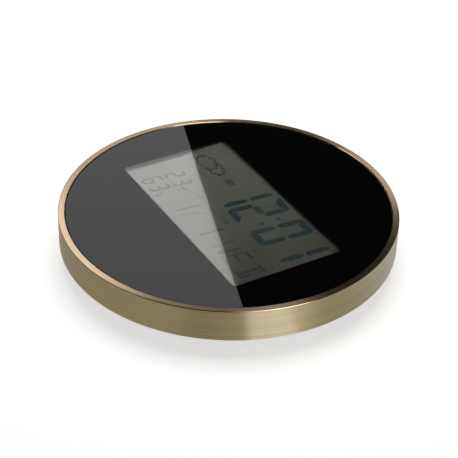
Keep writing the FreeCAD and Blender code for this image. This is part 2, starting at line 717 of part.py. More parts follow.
def case_holes():
    """Screw holes, key holes, foot seats, sound holes, vents and the slots for the battery contacts' tabs."""
    cuts = []
    for x, y in ring_places():
        seat = SHOULDER_Z + CASE_HEAD_H + 0.2
        cuts.append(rod(CASE_HEAD + HOLE_PLAY, SHOULDER_Z - 0.5, seat, x, y))
        cuts.append(rod(CASE_SHANK + HOLE_PLAY, SHOULDER_Z, SPLIT_Z, x, y))
    for _, x, y in key_places():
        cuts.append(rod(KEY_R + KEY_GAP, BACK_Z - 0.5, BACK_IN_Z, x, y))
    for x, y in foot_places():
        cuts.append(rod(FOOT_R, BACK_Z - 0.5, BACK_Z + FOOT_SINK, x, y))
    bx, by = BUZZER_AT
    cuts.append(rod(SOUND_HOLE_R, BACK_Z, BACK_IN_Z, bx, by))
    for k in range(SOUND_HOLES):
        turn = 2 * math.pi * k / SOUND_HOLES
        cuts.append(rod(
            SOUND_HOLE_R, BACK_Z, BACK_IN_Z,
            bx + SOUND_HOLE_RING * math.cos(turn), by + SOUND_HOLE_RING * math.sin(turn),
        ))
    sx, sy = SENSOR_AT
    for k in range(VENTS):
        y = sy + (k - (VENTS - 1) / 2) * VENT_PITCH
        half = VENT_W / 2
        cuts.append(slab(
            sx - VENT_L / 2, sx + VENT_L / 2, y - half, y + half, BACK_Z, BACK_IN_Z, half * 0.95
        ))
    for y in CELL_YS:
        cuts.append(block(-BAY_X - BAY_WALL, -BAY_X, y - 1.2, y + 1.2, BATTERY_Z + 1.4, BATTERY_Z + 2.2))
    return cuts


def rear_cover():
    """Moulded rear case: the dish with everything that stands in it, then all its recesses and holes."""
    body = joined([case_dish()] + case_walls())
    cuts = stand_recess() + door_rebate() + hanger_seat() + case_holes()
    return body.cut(cuts)


def case_screws():
    """Six screws that clamp the case halves on the ring's ledge."""
    seat = SHOULDER_Z + CASE_HEAD_H + 0.2
    length = CARRIER_Z + CARRIER_T / 2 - 0.3 - seat
    return [screw(x, y, seat, length, CASE_SHANK, CASE_HEAD, CASE_HEAD_H) for x, y in ring_places()]


def foot_places():
    """Centres of the four feet."""
    x, y = FOOT_AT
    return [(sx * x, sy * y) for sx in (-1, 1) for sy in (-1, 1)]


def rubber_feet():
    """Four stick-on feet with rounded rims, the lowest part of the station."""
    feet = []
    for x, y in foot_places():
        foot = rod(FOOT_R, 0, BACK_Z + FOOT_SINK, x, y)
        rim = [e for e in foot.Edges if isinstance(e.Curve, Part.Circle) and e.Curve.Center.z < 0.01]
        feet.append(foot.makeFillet(FOOT_H * 0.4, rim))
    return feet


def hanger_plate():
    """Steel plate with a keyhole for a wall screw."""
    x, y = HANGER_W / 2, HANGER_H / 2
    low, high = BACK_Z, BACK_Z + HANGER_T
    plate = slab(-x, x, HANGER_Y - y, HANGER_Y + y, low, high, HANGER_CORNER)
    slot_y = KEYHOLE_Y + KEYHOLE_DROP + KEYHOLE_RISE
    cuts = [
        rod(KEYHOLE_R, low, high, 0, KEYHOLE_Y),
        rod(KEYHOLE_SLOT_R, low, high, 0, slot_y),
        block(-KEYHOLE_SLOT_R, KEYHOLE_SLOT_R, KEYHOLE_Y, slot_y, low, high),
    ]
    for side in (-1, 1):
        place = V(side * HANGER_SCREW_X, HANGER_Y, low)
        cuts.append(Part.makeCone(SMALL_HEAD, SMALL_SHANK + SCREW_PLAY, HANGER_T, place))
    return plate.cut(cuts)


def hanger_screws():
    """Two countersunk screws, flush with the plate."""
    screws = []
    for side in (-1, 1):
        x = side * HANGER_SCREW_X
        head = Part.makeCone(
            SMALL_HEAD - SCREW_PLAY, SMALL_SHANK, HANGER_T, V(x, HANGER_Y, BACK_Z)
        )
        shank = rod(SMALL_SHANK, BACK_Z, BACK_Z + HANGER_T + HANGER_SCREW_L - 0.4, x, HANGER_Y)
        arm, deep = SMALL_HEAD * 0.55, HANGER_T * 0.5
        cross = block(x - arm, x + arm, HANGER_Y - 0.2, HANGER_Y + 0.2, BACK_Z, BACK_Z + deep)
        cross = cross.fuse(block(x - 0.2, x + 0.2, HANGER_Y - arm, HANGER_Y + arm, BACK_Z, BACK_Z + deep))
        screws.append(head.fuse(shank).cut(cross))
    return screws


# ---------------------------------------------------------------- batteries and door

def battery(y, way):
    """One cell lying along X with its nub pointing way, +1 or -1."""
    nub_x = way * (BAY_X - CONTACT_T)
    body_x = nub_x - way * NUB_L
    far_x = nub_x - way * BATTERY_L
    body = bar_x(BATTERY_D / 2, min(body_x, far_x), max(body_x, far_x), y, BATTERY_Z)
    rims = [e for e in body.Edges if isinstance(e.Curve, Part.Circle)]
    body = body.makeFillet(0.5, rims)
    nub = bar_x(NUB_R, min(nub_x, body_x - way), max(nub_x, body_x - way), y, BATTERY_Z)
    return body.fuse(nub)


def spring(y, way):
    """Conical spring that pushes on a cell's flat end, with its wide end at the bay's wall."""
    rise = SPRING_L - 2 * SPRING_WIRE
    runs = int(SPRING_TURNS * SPRING_RUNS)
    stops = []
    for k in range(runs + 1):
        share = k / runs
        turn = 2 * math.pi * SPRING_TURNS * share
        radius = SPRING_R + (SPRING_TIP_R - SPRING_R) * share
        stops.append(V(radius * math.cos(turn), radius * math.sin(turn), rise * share))
    section = Part.Wire(Part.makeCircle(SPRING_WIRE, stops[0], stops[1] - stops[0]))
    wire = Part.makePolygon(stops).makePipeShell([section], True, False, 1)
    wire.rotate(V(0, 0, 0), V(0, 1, 0), -way * 90)
    wall_x = way * (BAY_X - CONTACT_T)
    wire.translate(V(wall_x - way * SPRING_WIRE, y, BATTERY_Z))
    return wire


def contact(y0, y1, way):
    """A sprung steel contact standing at one end of the bay."""
    wall_x = way * BAY_X
    x0, x1 = sorted((wall_x, wall_x - way * CONTACT_T))
    half = CONTACT_H / 2
    return block(x0, x1, y0 - CONTACT_W / 2, y1 + CONTACT_W / 2, BATTERY_Z - half, BATTERY_Z + half)


def end_contact(y):
    """A single contact at the bay's left end, with a tab through the wall for its wire."""
    tab = block(
        -BAY_X - TAB_L, -BAY_X, y - 1.0, y + 1.0, BATTERY_Z + 1.6, BATTERY_Z + 1.6 + CONTACT_T
    )
    return contact(y, y, -1).fuse(tab)


def battery_door():
    """Hinged door with two knuckles and pivots at its upper edge and a clip tongue at its lower edge."""
    corner = 1.2
    plate = slab(-DOOR_X, DOOR_X, DOOR_LOW_Y, DOOR_TOP_Y, BACK_Z, DOOR_IN_Z, corner)
    pieces = [plate]
    for side in (-1, 1):
        ear, half = side * KNUCKLE_X, KNUCKLE_W / 2
        pieces.append(bar_x(KNUCKLE_R, ear - half, ear + half, PIVOT_Y, PIVOT_Z))
        pieces.append(block(ear - half, ear + half, DOOR_TOP_Y - 1, PIVOT_Y, BACK_Z, DOOR_IN_Z))
        pieces.append(bar_x(PIVOT_R, ear - half - PIVOT_L, ear + half + PIVOT_L, PIVOT_Y, PIVOT_Z))
    tongue_y = BAY_BOTTOM_Y + 0.35
    pieces.append(block(
        -TONGUE_W / 2, TONGUE_W / 2, tongue_y, tongue_y + TONGUE_T, BACK_Z + DOOR_T / 2, DOOR_IN_Z + TONGUE_H
    ))
    body = joined(pieces)
    grip = [
        block(-TONGUE_W / 2, TONGUE_W / 2, y, y + 0.5, BACK_Z - 0.2, BACK_Z + 0.3)
        for y in (DOOR_LOW_Y + 2.0, DOOR_LOW_Y + 3.2, DOOR_LOW_Y + 4.4)
    ]
    return body.cut(grip)


# ---------------------------------------------------------------- stand

def stand_leg():
    """Flat folding leg with a round knuckle at its hinge, a rounded tip and a shallow stiffening pocket."""
    half = STAND_W / 2
    top = STAND_Z + STAND_T
    plate = block(-half, half, STAND_HINGE_Y, STAND_TIP_Y, STAND_Z, top)
    tip = [
        e for e in plate.Edges
        if abs(e.tangentAt(e.FirstParameter).z) > 0.99 and e.CenterOfMass.y > STAND_TIP_Y - 0.01
    ]
    plate = plate.makeFillet(STAND_TIP_R, tip)
    knuckle = bar_x(STAND_KNUCKLE_R, -half, half, STAND_HINGE_Y, STAND_HINGE_Z)
    body = joined([plate, knuckle])
    margin = 4.5
    pad_y = STAND_TIP_Y - STAND_PAD_L
    pocket = slab(
        -half + margin, half - margin, STAND_HINGE_Y + margin, pad_y - margin, STAND_Z + 1.2, top, 2.5
    )
    cuts = [pocket, bar_x(STAND_PIN_R + STAND_PIN_PLAY, -half, half, STAND_HINGE_Y, STAND_HINGE_Z)]
    cuts.append(pad_blank(STAND_Z + 1.2, top))
    return body.cut(cuts)


def pad_blank(low, high):
    """Outline of the rubber pad in the stand's tip."""
    half = STAND_W / 2 - STAND_TIP_R
    return slab(-half, half, STAND_TIP_Y - STAND_PAD_L, STAND_TIP_Y - 1.5, low, high, 1.5)


def stand_pad():
    """Rubber pad let into the inner face of the stand's tip, a little proud of it."""
    return pad_blank(STAND_Z + 1.2, STAND_Z + STAND_T + 0.3)


def stand_pin():
    """Steel hinge pin, held in the case at both ends."""
    reach = RECESS_X + RECESS_WALL
    return bar_x(STAND_PIN_R, -reach, reach, STAND_HINGE_Y, STAND_HINGE_Z)


# ---------------------------------------------------------------- buzzer, air sensor and wires

def buzzer_disc():
    """Brass disc of the buzzer, glued on its rib."""
    low = BACK_IN_Z + BUZZER_RIB_H
    return rod(BUZZER_R, low, low + BUZZER_T, *BUZZER_AT)


def buzzer_ceramic():
    """Ceramic plate on the brass disc."""
    low = BACK_IN_Z + BUZZER_RIB_H + BUZZER_T
    return rod(CERAMIC_R, low, low + CERAMIC_T, *BUZZER_AT)


def sensor_board():
    """Small board on two posts over the vents."""
    sx, sy = SENSOR_AT
    x, y = SENSOR_BOARD_W / 2, SENSOR_BOARD_H / 2
    low = BACK_IN_Z + SENSOR_AIR
    return block(sx - x, sx + x, sy - y, sy + y, low, low + SENSOR_BOARD_T)


def humidity_sensor():
    """Temperature and humidity chip on the vent side of the small board, with its round inlet."""
    sx, sy = SENSOR_AT
    half = SENSOR_CHIP_W / 2
    top = BACK_IN_Z + SENSOR_AIR
    chip = block(sx - half, sx + half, sy - half, sy + half, top - SENSOR_CHIP_T, top)
    return chip.cut(rod(half * 0.5, top - SENSOR_CHIP_T, top - SENSOR_CHIP_T / 2, sx, sy))


def battery_lead_red():
    """Positive wire from the lower cell's tab to the board."""
    y, z = CELL_YS[0], BATTERY_Z + 2.0 + LEAD_R
    x = -BAY_X - TAB_L + 0.8
    board_x = x - 12.0
    return lead([
        (x, y, z), (x - 5, y + 0.5, z), (x - 9, y - 5, z - 1.2),
        (board_x, BOARD_TOP_Y - 4, BOARD_Z - 3.0), (board_x, BOARD_TOP_Y - 4, BOARD_Z),
    ])


def battery_lead_black():
    """Negative wire from the upper cell's tab to the board."""
    y, z = CELL_YS[1], BATTERY_Z + 2.0 + LEAD_R
    x = -BAY_X - TAB_L + 0.8
    board_x = x - 17.0
    return lead([
        (x, y, z), (x - 6, y + 0.5, z), (x - 13, y - 7, z - 1.0), (x - 16, y - 15, z - 1.4),
        (board_x, BOARD_TOP_Y - 4, BOARD_Z - 3.0), (board_x, BOARD_TOP_Y - 4, BOARD_Z),
    ])


def buzzer_leads():
    """Two wires from the buzzer to the board, one from the brass and one from the ceramic."""
    bx, by = BUZZER_AT
    low = BACK_IN_Z + BUZZER_RIB_H + BUZZER_T
    wires = []
    for x, foot in ((bx - 8.2, low), (bx - 5.0, low + CERAMIC_T)):
        wires.append(lead([
            (x, by, foot), (x, by, foot + 3.0), (x - 0.6, by - 7.5, foot + 3.6),
            (x - 0.3, BOARD_TOP_Y - 3.2, foot + 3.4), (x - 0.3, BOARD_TOP_Y - 3.2, BOARD_Z),
        ], 0.4))
    return wires


def sensor_leads():
    """Four wires from the small board over the baffle to the main board."""
    sx, sy = SENSOR_AT
    low = BACK_IN_Z + SENSOR_AIR + SENSOR_BOARD_T
    wires = []
    for k in range(4):
        x = sx - 3.0 + 2.0 * k
        wires.append(lead([
            (x, sy - 2, low), (x, sy - 2, low + 3.0), (x + 0.3, sy - 8, low + 4.2),
            (x, BOARD_TOP_Y - 2, low + 3.6), (x, BOARD_TOP_Y - 2, BOARD_Z),
        ], 0.4))
    return wires


# ---------------------------------------------------------------- every node

def nodes():
    """Name and solids of every node."""
    made = {
        "bezel_ring": bezel_ring(),
        "front_glass": front_glass(),
        "glass_mask": glass_mask(),
        "glass_tape": glass_tape(),
        "front_carrier": front_carrier(),
        "front_polariser": film(POLARISER_Z, PANEL_TOP_Z),
        "panel_front_plate": panel_front_plate(),
        "panel_rear_plate": panel_rear_plate(),
        "panel_reflector": film(REFLECTOR_Z, REAR_PLATE_Z),
        "display_frame": display_frame(),
        "contact_strip": contact_strip(),
        "main_board": main_board(),
        "board_screws": board_screws(),
        "frame_screws": frame_screws(),
        "processor_blob": processor_blob(),
        "clock_crystal": clock_crystal(),
        "board_parts": board_parts(),
        "pressure_sensor": pressure_sensor(),
        "switch_bodies": switch_bodies(),
        "rear_cover": rear_cover(),
        "case_screws": case_screws(),
        "rubber_feet": rubber_feet(),
        "hanger_plate": hanger_plate(),
        "hanger_screws": hanger_screws(),
        "battery_lower": battery(CELL_YS[0], -1),
        "battery_upper": battery(CELL_YS[1], 1),
        "battery_springs": [spring(CELL_YS[0], 1), spring(CELL_YS[1], -1)],
        "bridge_contact": contact(CELL_YS[0], CELL_YS[1], 1),
        "positive_contact": end_contact(CELL_YS[0]),
        "negative_contact": end_contact(CELL_YS[1]),
        "battery_door": battery_door(),
        "stand_leg": stand_leg(),
        "stand_pad": stand_pad(),
        "stand_pin": stand_pin(),
        "buzzer_disc": buzzer_disc(),
        "buzzer_ceramic": buzzer_ceramic(),
        "sensor_board": sensor_board(),
        "humidity_sensor": humidity_sensor(),
        "battery_lead_red": battery_lead_red(),
        "battery_lead_black": battery_lead_black(),
        "buzzer_leads": buzzer_leads(),
        "sensor_leads": sensor_leads(),
    }
    for name, x, y in key_places():
        made["key_" + name] = key(x, y)
        made["plunger_" + name] = plunger(x, y)
    return made


def main():
    os.makedirs("parts", exist_ok=True)
    for name, shape in nodes().items():
        solids = []
        for piece in shape if isinstance(shape, list) else [shape]:
            solids += piece.Solids
        for solid in solids:
            if not solid.isValid() or solid.Volume <= 0:
                print("bad solid in", name, round(solid.Volume, 3))
        whole = solids[0] if len(solids) == 1 else Part.makeCompound(solids)
        whole.exportStep("parts/" + name + ".step")
        box = whole.BoundBox
        print(
            f"{name:20s} {len(solids):2d} solids  x {box.XMin:7.2f} {box.XMax:7.2f}"
            f"  y {box.YMin:7.2f} {box.YMax:7.2f}  z {box.ZMin:6.2f} {box.ZMax:6.2f}"
        )


main()
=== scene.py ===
# %% [markdown]
# # A round home weather station
#
# This lesson dresses an engineering model of a round weather station: a champagne metal ring, a black glass face
# with a reflective display in it, and a plastic back. The engineering model is loaded first and never moved. Each
# new piece is worked out with numpy and rides on one of the model's bodies. Lengths are metres inside Blender, and
# `MM` turns the millimetres of the drawing into them.

# %% Load the engineering model
import bpy
import math
import numpy as np
from mathutils import Matrix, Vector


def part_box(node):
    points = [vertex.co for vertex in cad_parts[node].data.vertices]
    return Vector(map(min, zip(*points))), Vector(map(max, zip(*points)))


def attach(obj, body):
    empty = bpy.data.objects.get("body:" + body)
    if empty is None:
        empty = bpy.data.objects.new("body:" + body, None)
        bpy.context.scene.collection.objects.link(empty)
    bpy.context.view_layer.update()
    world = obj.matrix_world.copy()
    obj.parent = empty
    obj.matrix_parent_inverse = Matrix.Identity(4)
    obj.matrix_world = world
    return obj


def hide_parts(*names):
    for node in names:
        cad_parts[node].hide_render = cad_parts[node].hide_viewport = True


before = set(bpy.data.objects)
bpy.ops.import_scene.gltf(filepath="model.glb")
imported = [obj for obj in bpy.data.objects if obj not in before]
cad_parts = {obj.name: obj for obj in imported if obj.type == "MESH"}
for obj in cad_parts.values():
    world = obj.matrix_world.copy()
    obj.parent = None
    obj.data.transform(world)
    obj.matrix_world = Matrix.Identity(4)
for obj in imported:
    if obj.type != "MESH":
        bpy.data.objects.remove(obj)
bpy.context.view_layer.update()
MM = 0.001

# %% [markdown]
# ## The camera
#
# The station lies on its back and is seen from its lower right, from about 34 degrees above the table. The camera
# is placed by three directions: the way it looks, what is right and what is up in the view. A long lens, 110.7 mm
# on a 36 mm sensor, stands well back, so the ring is an ellipse with hardly any convergence. The place is given in
# ring radii from the middle of the ring's top, which keeps it true if the station's size changes.

# %% Place the camera
ring_low, ring_high = (np.array(c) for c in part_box("bezel_ring"))
RADIUS = float(ring_high[0] - ring_low[0]) / 2
TOP_Z = float(ring_high[2])

VIEW_RIGHT = np.array([0.49941, 0.86606, 0.02314])
VIEW_UP = np.array([-0.50841, 0.27134, 0.81725])
CAMERA_AT = np.array([5.87773, -3.51325, 4.65680]) * RADIUS + np.array([0, 0, TOP_Z])

view_right = VIEW_RIGHT / np.linalg.norm(VIEW_RIGHT)
view_back = np.cross(view_right, VIEW_UP / np.linalg.norm(VIEW_UP))
view_back /= np.linalg.norm(view_back)
view_up = np.cross(view_back, view_right)

camera_data = bpy.data.cameras.new("camera")
camera_data.lens = 110.74
camera_data.sensor_width = 36.0
camera = bpy.data.objects.new("camera", camera_data)
bpy.context.scene.collection.objects.link(camera)
placing = np.eye(4)
placing[:3, 0], placing[:3, 1], placing[:3, 2], placing[:3, 3] = view_right, view_up, view_back, CAMERA_AT
camera.matrix_world = Matrix(placing.tolist())
bpy.context.scene.camera = camera
bpy.context.scene.view_settings.view_transform = "Standard"
print("camera at", np.round(CAMERA_AT, 4), "ring radius", RADIUS, "top", TOP_Z)

# %% [markdown]
# ## Node helpers
#
# Every finish is a small graph of shader nodes. A few helpers keep the graphs short: `finish` makes a material with
# its Principled shader set up, `add` adds a node, and `noise` makes a pattern that reads Object coordinates, so it is
# fixed to the piece and keeps its size in metres. `spread`, `tint`, `times` and `bump` turn a pattern into a range of
# values, a blend of colours, a multiple and a relief, and `feed` connects the result to the shader.

# %% Helpers for materials
def finish(name, **sockets):
    """A material whose Principled shader has the given socket values."""
    material = bpy.data.materials.new(name)
    material.use_nodes = True
    shader = material.node_tree.nodes["Principled BSDF"]
    for key, value in sockets.items():
        socket = shader.inputs[key.replace("_", " ")]
        socket.default_value = (*value, 1.0) if isinstance(value, tuple) and len(value) == 3 else value
    return material


def add(material, kind, links=None, **values):
    """A new node. links maps its inputs to the outputs that feed them, values sets its properties or sockets."""
    tree = material.node_tree
    node = tree.nodes.new(kind)
    for key, value in values.items():
        if hasattr(node, key):
            setattr(node, key, value)
        else:
            node.inputs[key.replace("_", " ")].default_value = value
    for key, source in (links or {}).items():
        tree.links.new(source, node.inputs[key])
    return node


def feed(material, socket, source):
    """Connects an output to a socket of the Principled shader."""
    shader = material.node_tree.nodes["Principled BSDF"]
    material.node_tree.links.new(source, shader.inputs[socket])


def noise(material, scale, stretch=(1, 1, 1), detail=3.0, rough=0.55):
    """Noise on Object coordinates. scale counts grains per metre, stretch multiplies it along each axis."""
    place = add(material, "ShaderNodeTexCoord")
    turn = add(material, "ShaderNodeMapping", {"Vector": place.outputs["Object"]}, Scale=stretch)
    return add(material, "ShaderNodeTexNoise", {"Vector": turn.outputs["Vector"]},
               Scale=scale, Detail=detail, Roughness=rough).outputs["Fac"]


def spread(material, source, low, high, from_low=0.3, from_high=0.7):
    """Maps a pattern onto a range of values."""
    return add(material, "ShaderNodeMapRange", {"Value": source}, **{
        "From_Min": from_low, "From_Max": from_high, "To_Min": low, "To_Max": high}).outputs["Result"]


def tint(material, source, low, high, from_low=0.3, from_high=0.7):
    """Maps a pattern onto a blend of two colours."""
    ramp = add(material, "ShaderNodeValToRGB", {"Fac": source})
    ramp.color_ramp.elements[0].position, ramp.color_ramp.elements[1].position = from_low, from_high
    ramp.color_ramp.elements[0].color, ramp.color_ramp.elements[1].color = (*low, 1), (*high, 1)
    return ramp.outputs["Color"]


def times(material, source, factor):
    """A pattern multiplied by a number."""
    made = add(material, "ShaderNodeMath", {0: source}, operation="MULTIPLY")
    made.inputs[1].default_value = factor
    return made.outputs[0]


def bump(material, source, depth, strength=1.0):
    """Turns a pattern into small heights, depth in metres."""
    made = add(material, "ShaderNodeBump", {"Height": source}, Distance=depth, Strength=strength)
    feed(material, "Normal", made.outputs["Normal"])


# %% [markdown]
# ## Mesh helpers
#
# Most pieces are surfaces of two parameters. `weave` takes a whole grid of points and joins neighbours into quads
# with index arithmetic, so no loop runs over the vertices. A UV map records the two parameters, because the
# brushing on the ring has to follow the surface.

# %% Helpers for meshes
def mesh_piece(name, points, faces, materials, slots=None, uv=None):
    """An object at the origin from vertices, polygons, materials, one slot number per face and one UV per corner."""
    mesh = bpy.data.meshes.new(name)
    mesh.from_pydata(np.asarray(points, float).tolist(), [], [list(map(int, f)) for f in faces])
    for material in materials:
        mesh.materials.append(material)
    if slots is not None:
        mesh.polygons.foreach_set("material_index", np.asarray(slots, dtype=np.int32))
    if uv is not None:
        layer = mesh.uv_layers.new(name="UVMap")
        layer.data.foreach_set("uv", np.asarray(uv, dtype=np.float32).ravel())
    mesh.validate(clean_customdata=False)
    mesh.update()
    piece = bpy.data.objects.new(name, mesh)
    bpy.context.scene.collection.objects.link(piece)
    return piece


def weave(rows, cols, wrap_rows=False, wrap_cols=False):
    """Quads of a grid whose vertex (i, j) is number i * cols + j. Wrapping joins the last line to the first."""
    i = np.arange(rows if wrap_rows else rows - 1)[:, None]
    j = np.arange(cols if wrap_cols else cols - 1)[None, :]
    ni, nj = (i + 1) % rows, (j + 1) % cols
    return np.stack([i * cols + j, ni * cols + j, ni * cols + nj, i * cols + nj], axis=-1).reshape(-1, 4)


def weave_uv(rows, cols, lengths):
    """Corner UVs for a grid that wraps both ways: U is the turn round the rows, V the distance along the columns."""
    i = np.arange(rows)[:, None] * np.ones((1, cols))
    j = np.arange(cols)[None, :] * np.ones((rows, 1))
    total = np.append(lengths, lengths[-1] + (lengths[-1] - lengths[-2]))
    u = np.stack([i, i + 1, i + 1, i], axis=-1) / rows
    jj = j.astype(int)
    v = np.stack([total[jj], total[jj], total[jj + 1], total[jj + 1]], axis=-1)
    return np.stack([u, v], axis=-1).reshape(-1, 2)


def smooth(piece, angle=30.0):
    """Smooth shading, with edges sharper than the angle kept crisp."""
    piece.data.shade_smooth()
    piece.data.set_sharp_from_angle(angle=math.radians(angle))


# %% [markdown]
# ## The ring
#
# The real ring is turned from aluminium, brushed while it spins, and anodised the colour of champagne. Its section
# is a tall thin rectangle with two small rounded outer edges and an inner ledge that the case halves clamp. A
# revolved profile is the natural way to make it: the surface point is (r(v) cos u, r(v) sin u, z(v)), where u is the
# turn and v runs round the section. The rounded edges get points of their own, because they catch the light as a
# thin bright line.

# %% The ring's section
RING_EDGE, RING_BREAK = 0.35 * MM, 0.15 * MM    # the outer rounding and the inner edge's break
BORE = 72.1 * MM                                # inside radius round the glass
LEDGE_REACH, LEDGE_T = 2.6 * MM, 1.5 * MM       # the inner ledge that the carrier rests on
CARRIER_T = 2.0 * MM
LEDGE_TOP = float(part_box("front_carrier")[1][2]) - CARRIER_T


def arc(centre, radius, start, end, steps):
    """Points on a circle's arc between two angles in degrees: centre + radius (cos a, sin a)."""
    a = np.radians(np.linspace(start, end, steps))
    return np.stack([centre[0] + radius * np.cos(a), centre[1] + radius * np.sin(a)], axis=1)


def ring_section():
    """The closed (radius, height) outline, counter-clockwise, with extra points along the flats."""
    low, high = float(ring_low[2]), TOP_Z
    wall = np.linspace(low + RING_EDGE, high - RING_EDGE, 6)[1:-1]
    band = np.linspace(RADIUS - RING_EDGE, BORE + RING_BREAK, 5)
    return np.concatenate([
        [[BORE, low]],
        arc((RADIUS - RING_EDGE, low + RING_EDGE), RING_EDGE, -90, 0, 7),
        np.stack([np.full_like(wall, RADIUS), wall], axis=1),
        arc((RADIUS - RING_EDGE, high - RING_EDGE), RING_EDGE, 0, 90, 7),
        np.stack([band[1:], np.full_like(band[1:], high)], axis=1),
        [[BORE, high - RING_BREAK], [BORE, LEDGE_TOP], [BORE - LEDGE_REACH, LEDGE_TOP],
         [BORE - LEDGE_REACH, LEDGE_TOP - LEDGE_T], [BORE, LEDGE_TOP - LEDGE_T]],
    ])


def revolve(section, turns):
    """Carries a closed section round the Z axis: (r cos u, r sin u, z) for every u and every section point."""
    u = np.linspace(0, 2 * np.pi, turns, endpoint=False)[:, None]
    r, z = section[None, :, 0], section[None, :, 1]
    points = np.stack([r * np.cos(u), r * np.sin(u), z + 0 * u], axis=-1).reshape(-1, 3)
    steps = np.linalg.norm(np.diff(section, axis=0), axis=1)
    lengths = np.concatenate([[0], np.cumsum(steps)])
    return points, weave(turns, len(section), True, True), weave_uv(turns, len(section), lengths)


section = ring_section()
print("ring section", len(section), "points, height", round((TOP_Z - float(ring_low[2])) * 1000, 2), "mm")

# %% [markdown]
# Brushed metal is bright along lines that run across the grooves. The Principled shader does this with its
# anisotropy, which needs a tangent that lies along the grooves, here from the UV map's U. The grooves themselves are
# noise whose grain is very long round the ring and very fine across it. Its three coordinates are the point's own X
# and Y, which change slowly, and the distance along the section, which is multiplied up. That way the pattern closes
# on itself without a seam.

# %% The ring's metal
FINER_ACROSS = 260.0    # how many times finer the grooves are across than round the ring


def brushed_champagne(name, dull, bright):
    """Anodised aluminium with grooves round the ring, drifting between two tones."""
    metal = finish(name, Base_Color=bright, Metallic=1.0, Roughness=0.33, Anisotropic=0.95,
                   Anisotropic_Rotation=0.25)
    place = add(metal, "ShaderNodeTexCoord")
    flat = add(metal, "ShaderNodeSeparateXYZ", {"Vector": place.outputs["Object"]})
    along = add(metal, "ShaderNodeSeparateXYZ", {"Vector": place.outputs["UV"]})
    grain = add(metal, "ShaderNodeCombineXYZ", {
        "X": flat.outputs["X"], "Y": flat.outputs["Y"], "Z": times(metal, along.outputs["Y"], FINER_ACROSS)})
    fine = add(metal, "ShaderNodeTexNoise", {"Vector": grain.outputs[0]}, Scale=22.0, Detail=6.0, Roughness=0.7)
    broad = add(metal, "ShaderNodeTexNoise", {"Vector": grain.outputs[0]}, Scale=6.0, Detail=2.0, Roughness=0.5)
    feed(metal, "Base Color", tint(metal, broad.outputs["Fac"], dull, bright))
    feed(metal, "Roughness", spread(metal, fine.outputs["Fac"], 0.27, 0.39))
    bump(metal, fine.outputs["Fac"], 0.004 * MM, 0.5)
    tangent = add(metal, "ShaderNodeTangent", direction_type="UV_MAP", uv_map="UVMap")
    feed(metal, "Tangent", tangent.outputs["Tangent"])
    return metal


def polished_champagne():
    """The same metal where a fine cut has broken the edges: smooth, with only faint turning marks."""
    metal = finish("polished_champagne", Base_Color=(0.78, 0.63, 0.40), Metallic=1.0, Roughness=0.1)
    feed(metal, "Roughness", spread(metal, noise(metal, 700.0, detail=4.0), 0.07, 0.14))
    bump(metal, noise(metal, 2500.0), 0.002 * MM, 0.4)
    return metal


champagne = brushed_champagne("brushed_champagne", (0.72, 0.59, 0.325), (0.84, 0.695, 0.405))
top_band = brushed_champagne("brushed_band", (0.74, 0.57, 0.365), (0.83, 0.645, 0.43))
cut_edge = polished_champagne()

# %% Build the ring
TURNS, HAIR = 360, 1e-7    # quads round the ring, and a length too short to count
points, faces, uv = revolve(section, TURNS)
ends = np.roll(section, -1, axis=0)
sloped = (np.abs(ends - section).min(axis=1) > HAIR) & (section[:, 0] > BORE)
on_top = (section[:, 1] > TOP_Z - HAIR) & (ends[:, 1] > TOP_Z - HAIR)
ring = mesh_piece("ring", points, faces, [champagne, cut_edge, top_band],
                  np.tile(sloped.astype(int) + 2 * on_top, TURNS), uv=uv)
smooth(ring)
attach(ring, "case")
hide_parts("bezel_ring")
print("ring faces", len(faces))

# %% [markdown]
# ## The face glass
#
# The glass is a clear disc whose back is printed black, except for the display's window. Light that reaches the ink
# stops there, so only the top surface mirrors the room. The disc is built in rings of points. The outermost rings
# are the ground edge, and on both faces the rings pass from the circle to the rounded rectangle of the window and on
# to its middle. Well outside the window the disc is given the look of glass over ink directly, a black surface with
# the gloss of glass, because a path tracer finds that mirror without guessing between two ways for each ray. Near
# the window the top is clear, so the ink's edge shows through it at its true depth.

# %% Glass, ink and the window's outline
WINDOW_X, WINDOW_Y, WINDOW_CORNER = 50.45 * MM, 26.4 * MM, 1.6 * MM
WINDOW_SHIFT = np.array([-0.3, -0.1]) * MM
glass_low, glass_high = (np.array(c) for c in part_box("front_glass"))
GLASS_R, GLASS_LOW, GLASS_HIGH = float(glass_high[0]), float(glass_low[2]), float(glass_high[2])
EDGE = 0.25 * MM           # the ground edge's width
CLEAR_MARGIN = 1.3 * MM    # the look of glass over ink keeps this far from the window
HEART = 0.02               # the innermost ring's share of the window, closed by a fan of triangles


def rounded_rectangle(x, y, corner, steps=8, along=24):
    """A rectangle's outline with circular corners, counter-clockwise from the middle of the right side."""
    parts = []
    for k, (cx, cy) in enumerate(((x - corner, y - corner), (-x + corner, y - corner),
                                  (-x + corner, -y + corner), (x - corner, -y + corner))):
        parts.append(arc((cx, cy), corner, 90 * k, 90 * k + 90, steps))
    closed = np.concatenate(parts)
    ends = np.roll(closed, -1, axis=0)
    pieces = []
    for start, end in zip(closed, ends):
        count = along if np.linalg.norm(end - start) > 3 * corner else 1
        t = np.arange(count)[:, None] / count
        pieces.append(start * (1 - t) + end * t)
    return np.concatenate(pieces)


